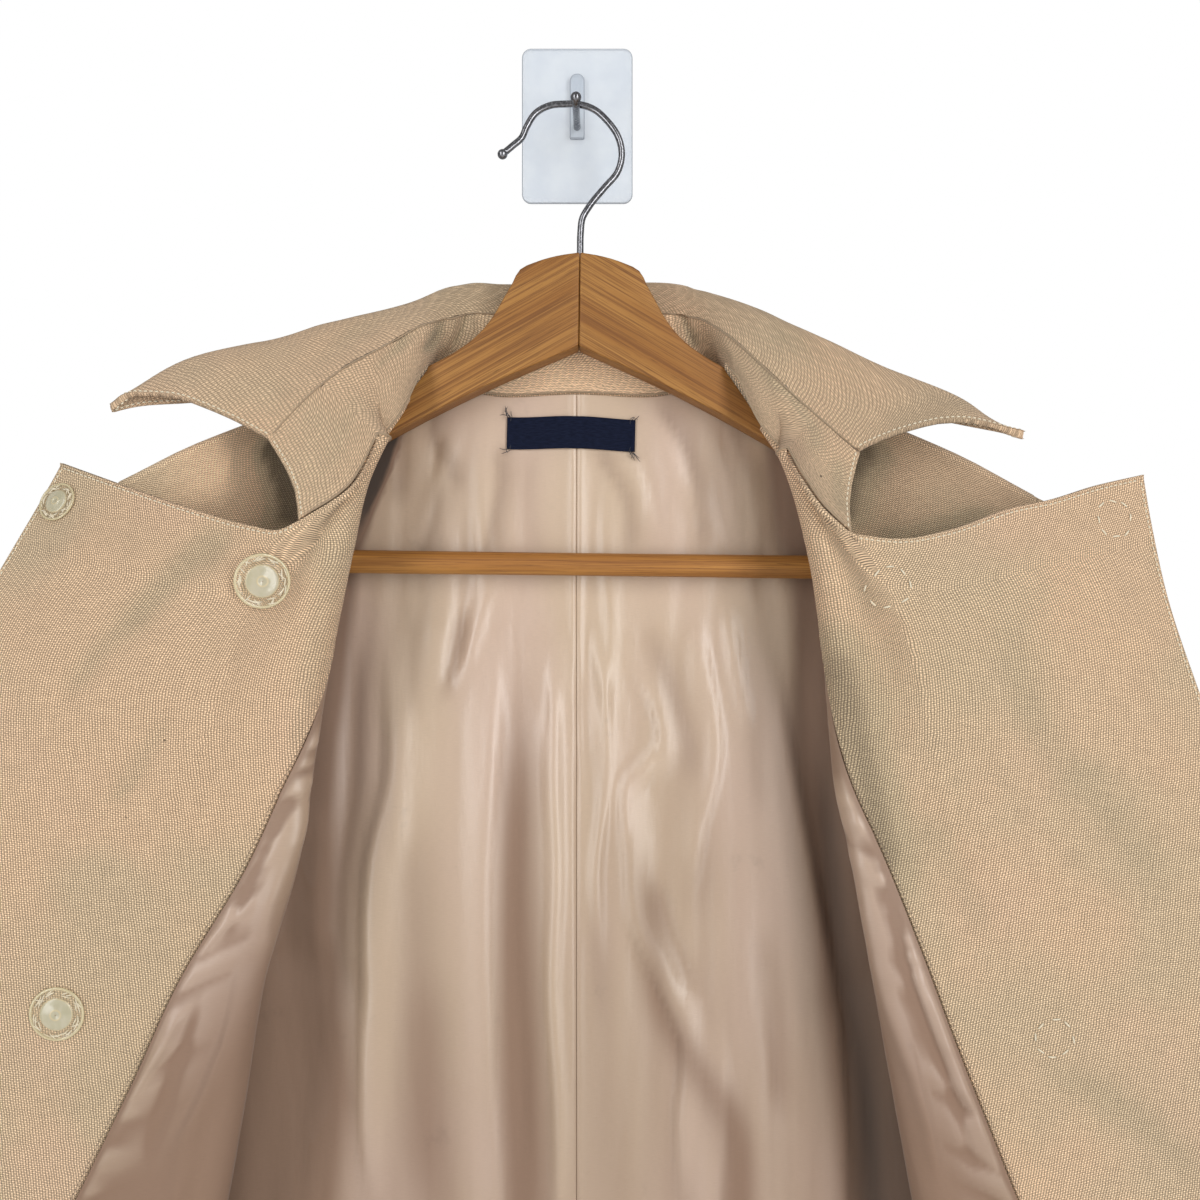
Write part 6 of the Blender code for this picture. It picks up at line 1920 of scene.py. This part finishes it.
def slab(name, outline, back, front, edge):
    """A flat piece between two depths, its rims rounded."""
    mesh = bpy.data.meshes.new(name)
    count = len(outline)
    vertices = [(x, y, z) for y in (back, front) for x, z in outline]
    faces = [tuple(range(count)), tuple(range(2 * count - 1, count - 1, -1))]
    faces += [(k, (k + 1) % count, (k + 1) % count + count, k + count) for k in range(count)]
    mesh.from_pydata(vertices, [], faces)
    work = bmesh.new()
    work.from_mesh(mesh)
    bmesh.ops.recalc_face_normals(work, faces=work.faces)
    rims = [e for e in work.edges if len(e.link_faces) == 2
            and e.link_faces[0].normal.angle(e.link_faces[1].normal) > ROUNDED_FROM]
    bmesh.ops.bevel(work, geom=rims, offset=edge, segments=BEVEL_STEPS, profile=0.5, affect="EDGES")
    work.to_mesh(mesh)
    work.free()
    mesh.shade_smooth()
    mesh.set_sharp_from_angle(angle=SHARP_FROM)
    return place_in_scene(name, mesh)


# Stage

FLOOR_LEVEL, FLOOR_HALF = -1.02, 6.0
CAMERA_PLACE, CAMERA_LENS = (0.01234, -0.680, -0.2571), 37.5
# Light of the room on the piece, and the lamps: name, place, target, width, height, power
FILL = 0.34
LAMPS = [
    ("key", (0.92, -1.45, 0.02), (0, -0.05, -0.32), 0.55, 2.0, 17.5),
    ("side", (-1.00, -1.40, -0.05), (0, -0.05, -0.32), 0.50, 2.0, 12.0),
]


def build_stage():
    corners = ((-1, -1), (1, -1), (1, 1), (-1, 1))
    floor = new_mesh("floor", [(x * FLOOR_HALF, y * FLOOR_HALF, FLOOR_LEVEL) for x, y in corners],
                     [(0, 1, 2, 3)])
    floor.data.materials.append(FINISHES["floor"])
    world = bpy.data.worlds.new("studio")
    bpy.context.scene.world = world
    world.use_nodes = True
    tree = world.node_tree
    sky = tree.nodes["Background"]
    sky.inputs["Color"].default_value = (1, 1, 1, 1)
    seen = tree.nodes.new("ShaderNodeLightPath")
    level = tree.nodes.new("ShaderNodeMapRange")
    level.inputs["To Min"].default_value = FILL
    level.inputs["To Max"].default_value = 1.0
    tree.links.new(seen.outputs["Is Camera Ray"], level.inputs["Value"])
    tree.links.new(level.outputs["Result"], sky.inputs["Strength"])
    for name, place, target, width, height, power in LAMPS:
        data = bpy.data.lights.new(name, "AREA")
        data.shape = "RECTANGLE"
        data.size, data.size_y = width, height
        data.energy = power
        lamp = place_in_scene(name, data)
        lamp.location = place
        lamp.rotation_euler = (Vector(target) - Vector(place)).to_track_quat("-Z", "Y").to_euler()
    camera = bpy.data.cameras.new("camera")
    camera.lens = CAMERA_LENS
    camera.sensor_width = 36.0
    camera.clip_start = 0.01
    holder = place_in_scene("camera", camera)
    holder.location = CAMERA_PLACE
    holder.rotation_euler = (math.pi / 2, 0, 0)
    bpy.context.scene.camera = holder
    bpy.context.scene.view_settings.view_transform = "Standard"


def build():
    build_stage()
    build_hardware()
    fronts = {side: Front(side) for side in WORD}
    for side, front in fronts.items():
        panel = build_front(side, front)
        build_snaps(side, front, panel)
        build_sleeve(side)
    back = Back()
    back_panel = build_back(back)
    build_back_lining(back_panel)
    build_label(back, back_panel)
    build_collar(fronts)


build()
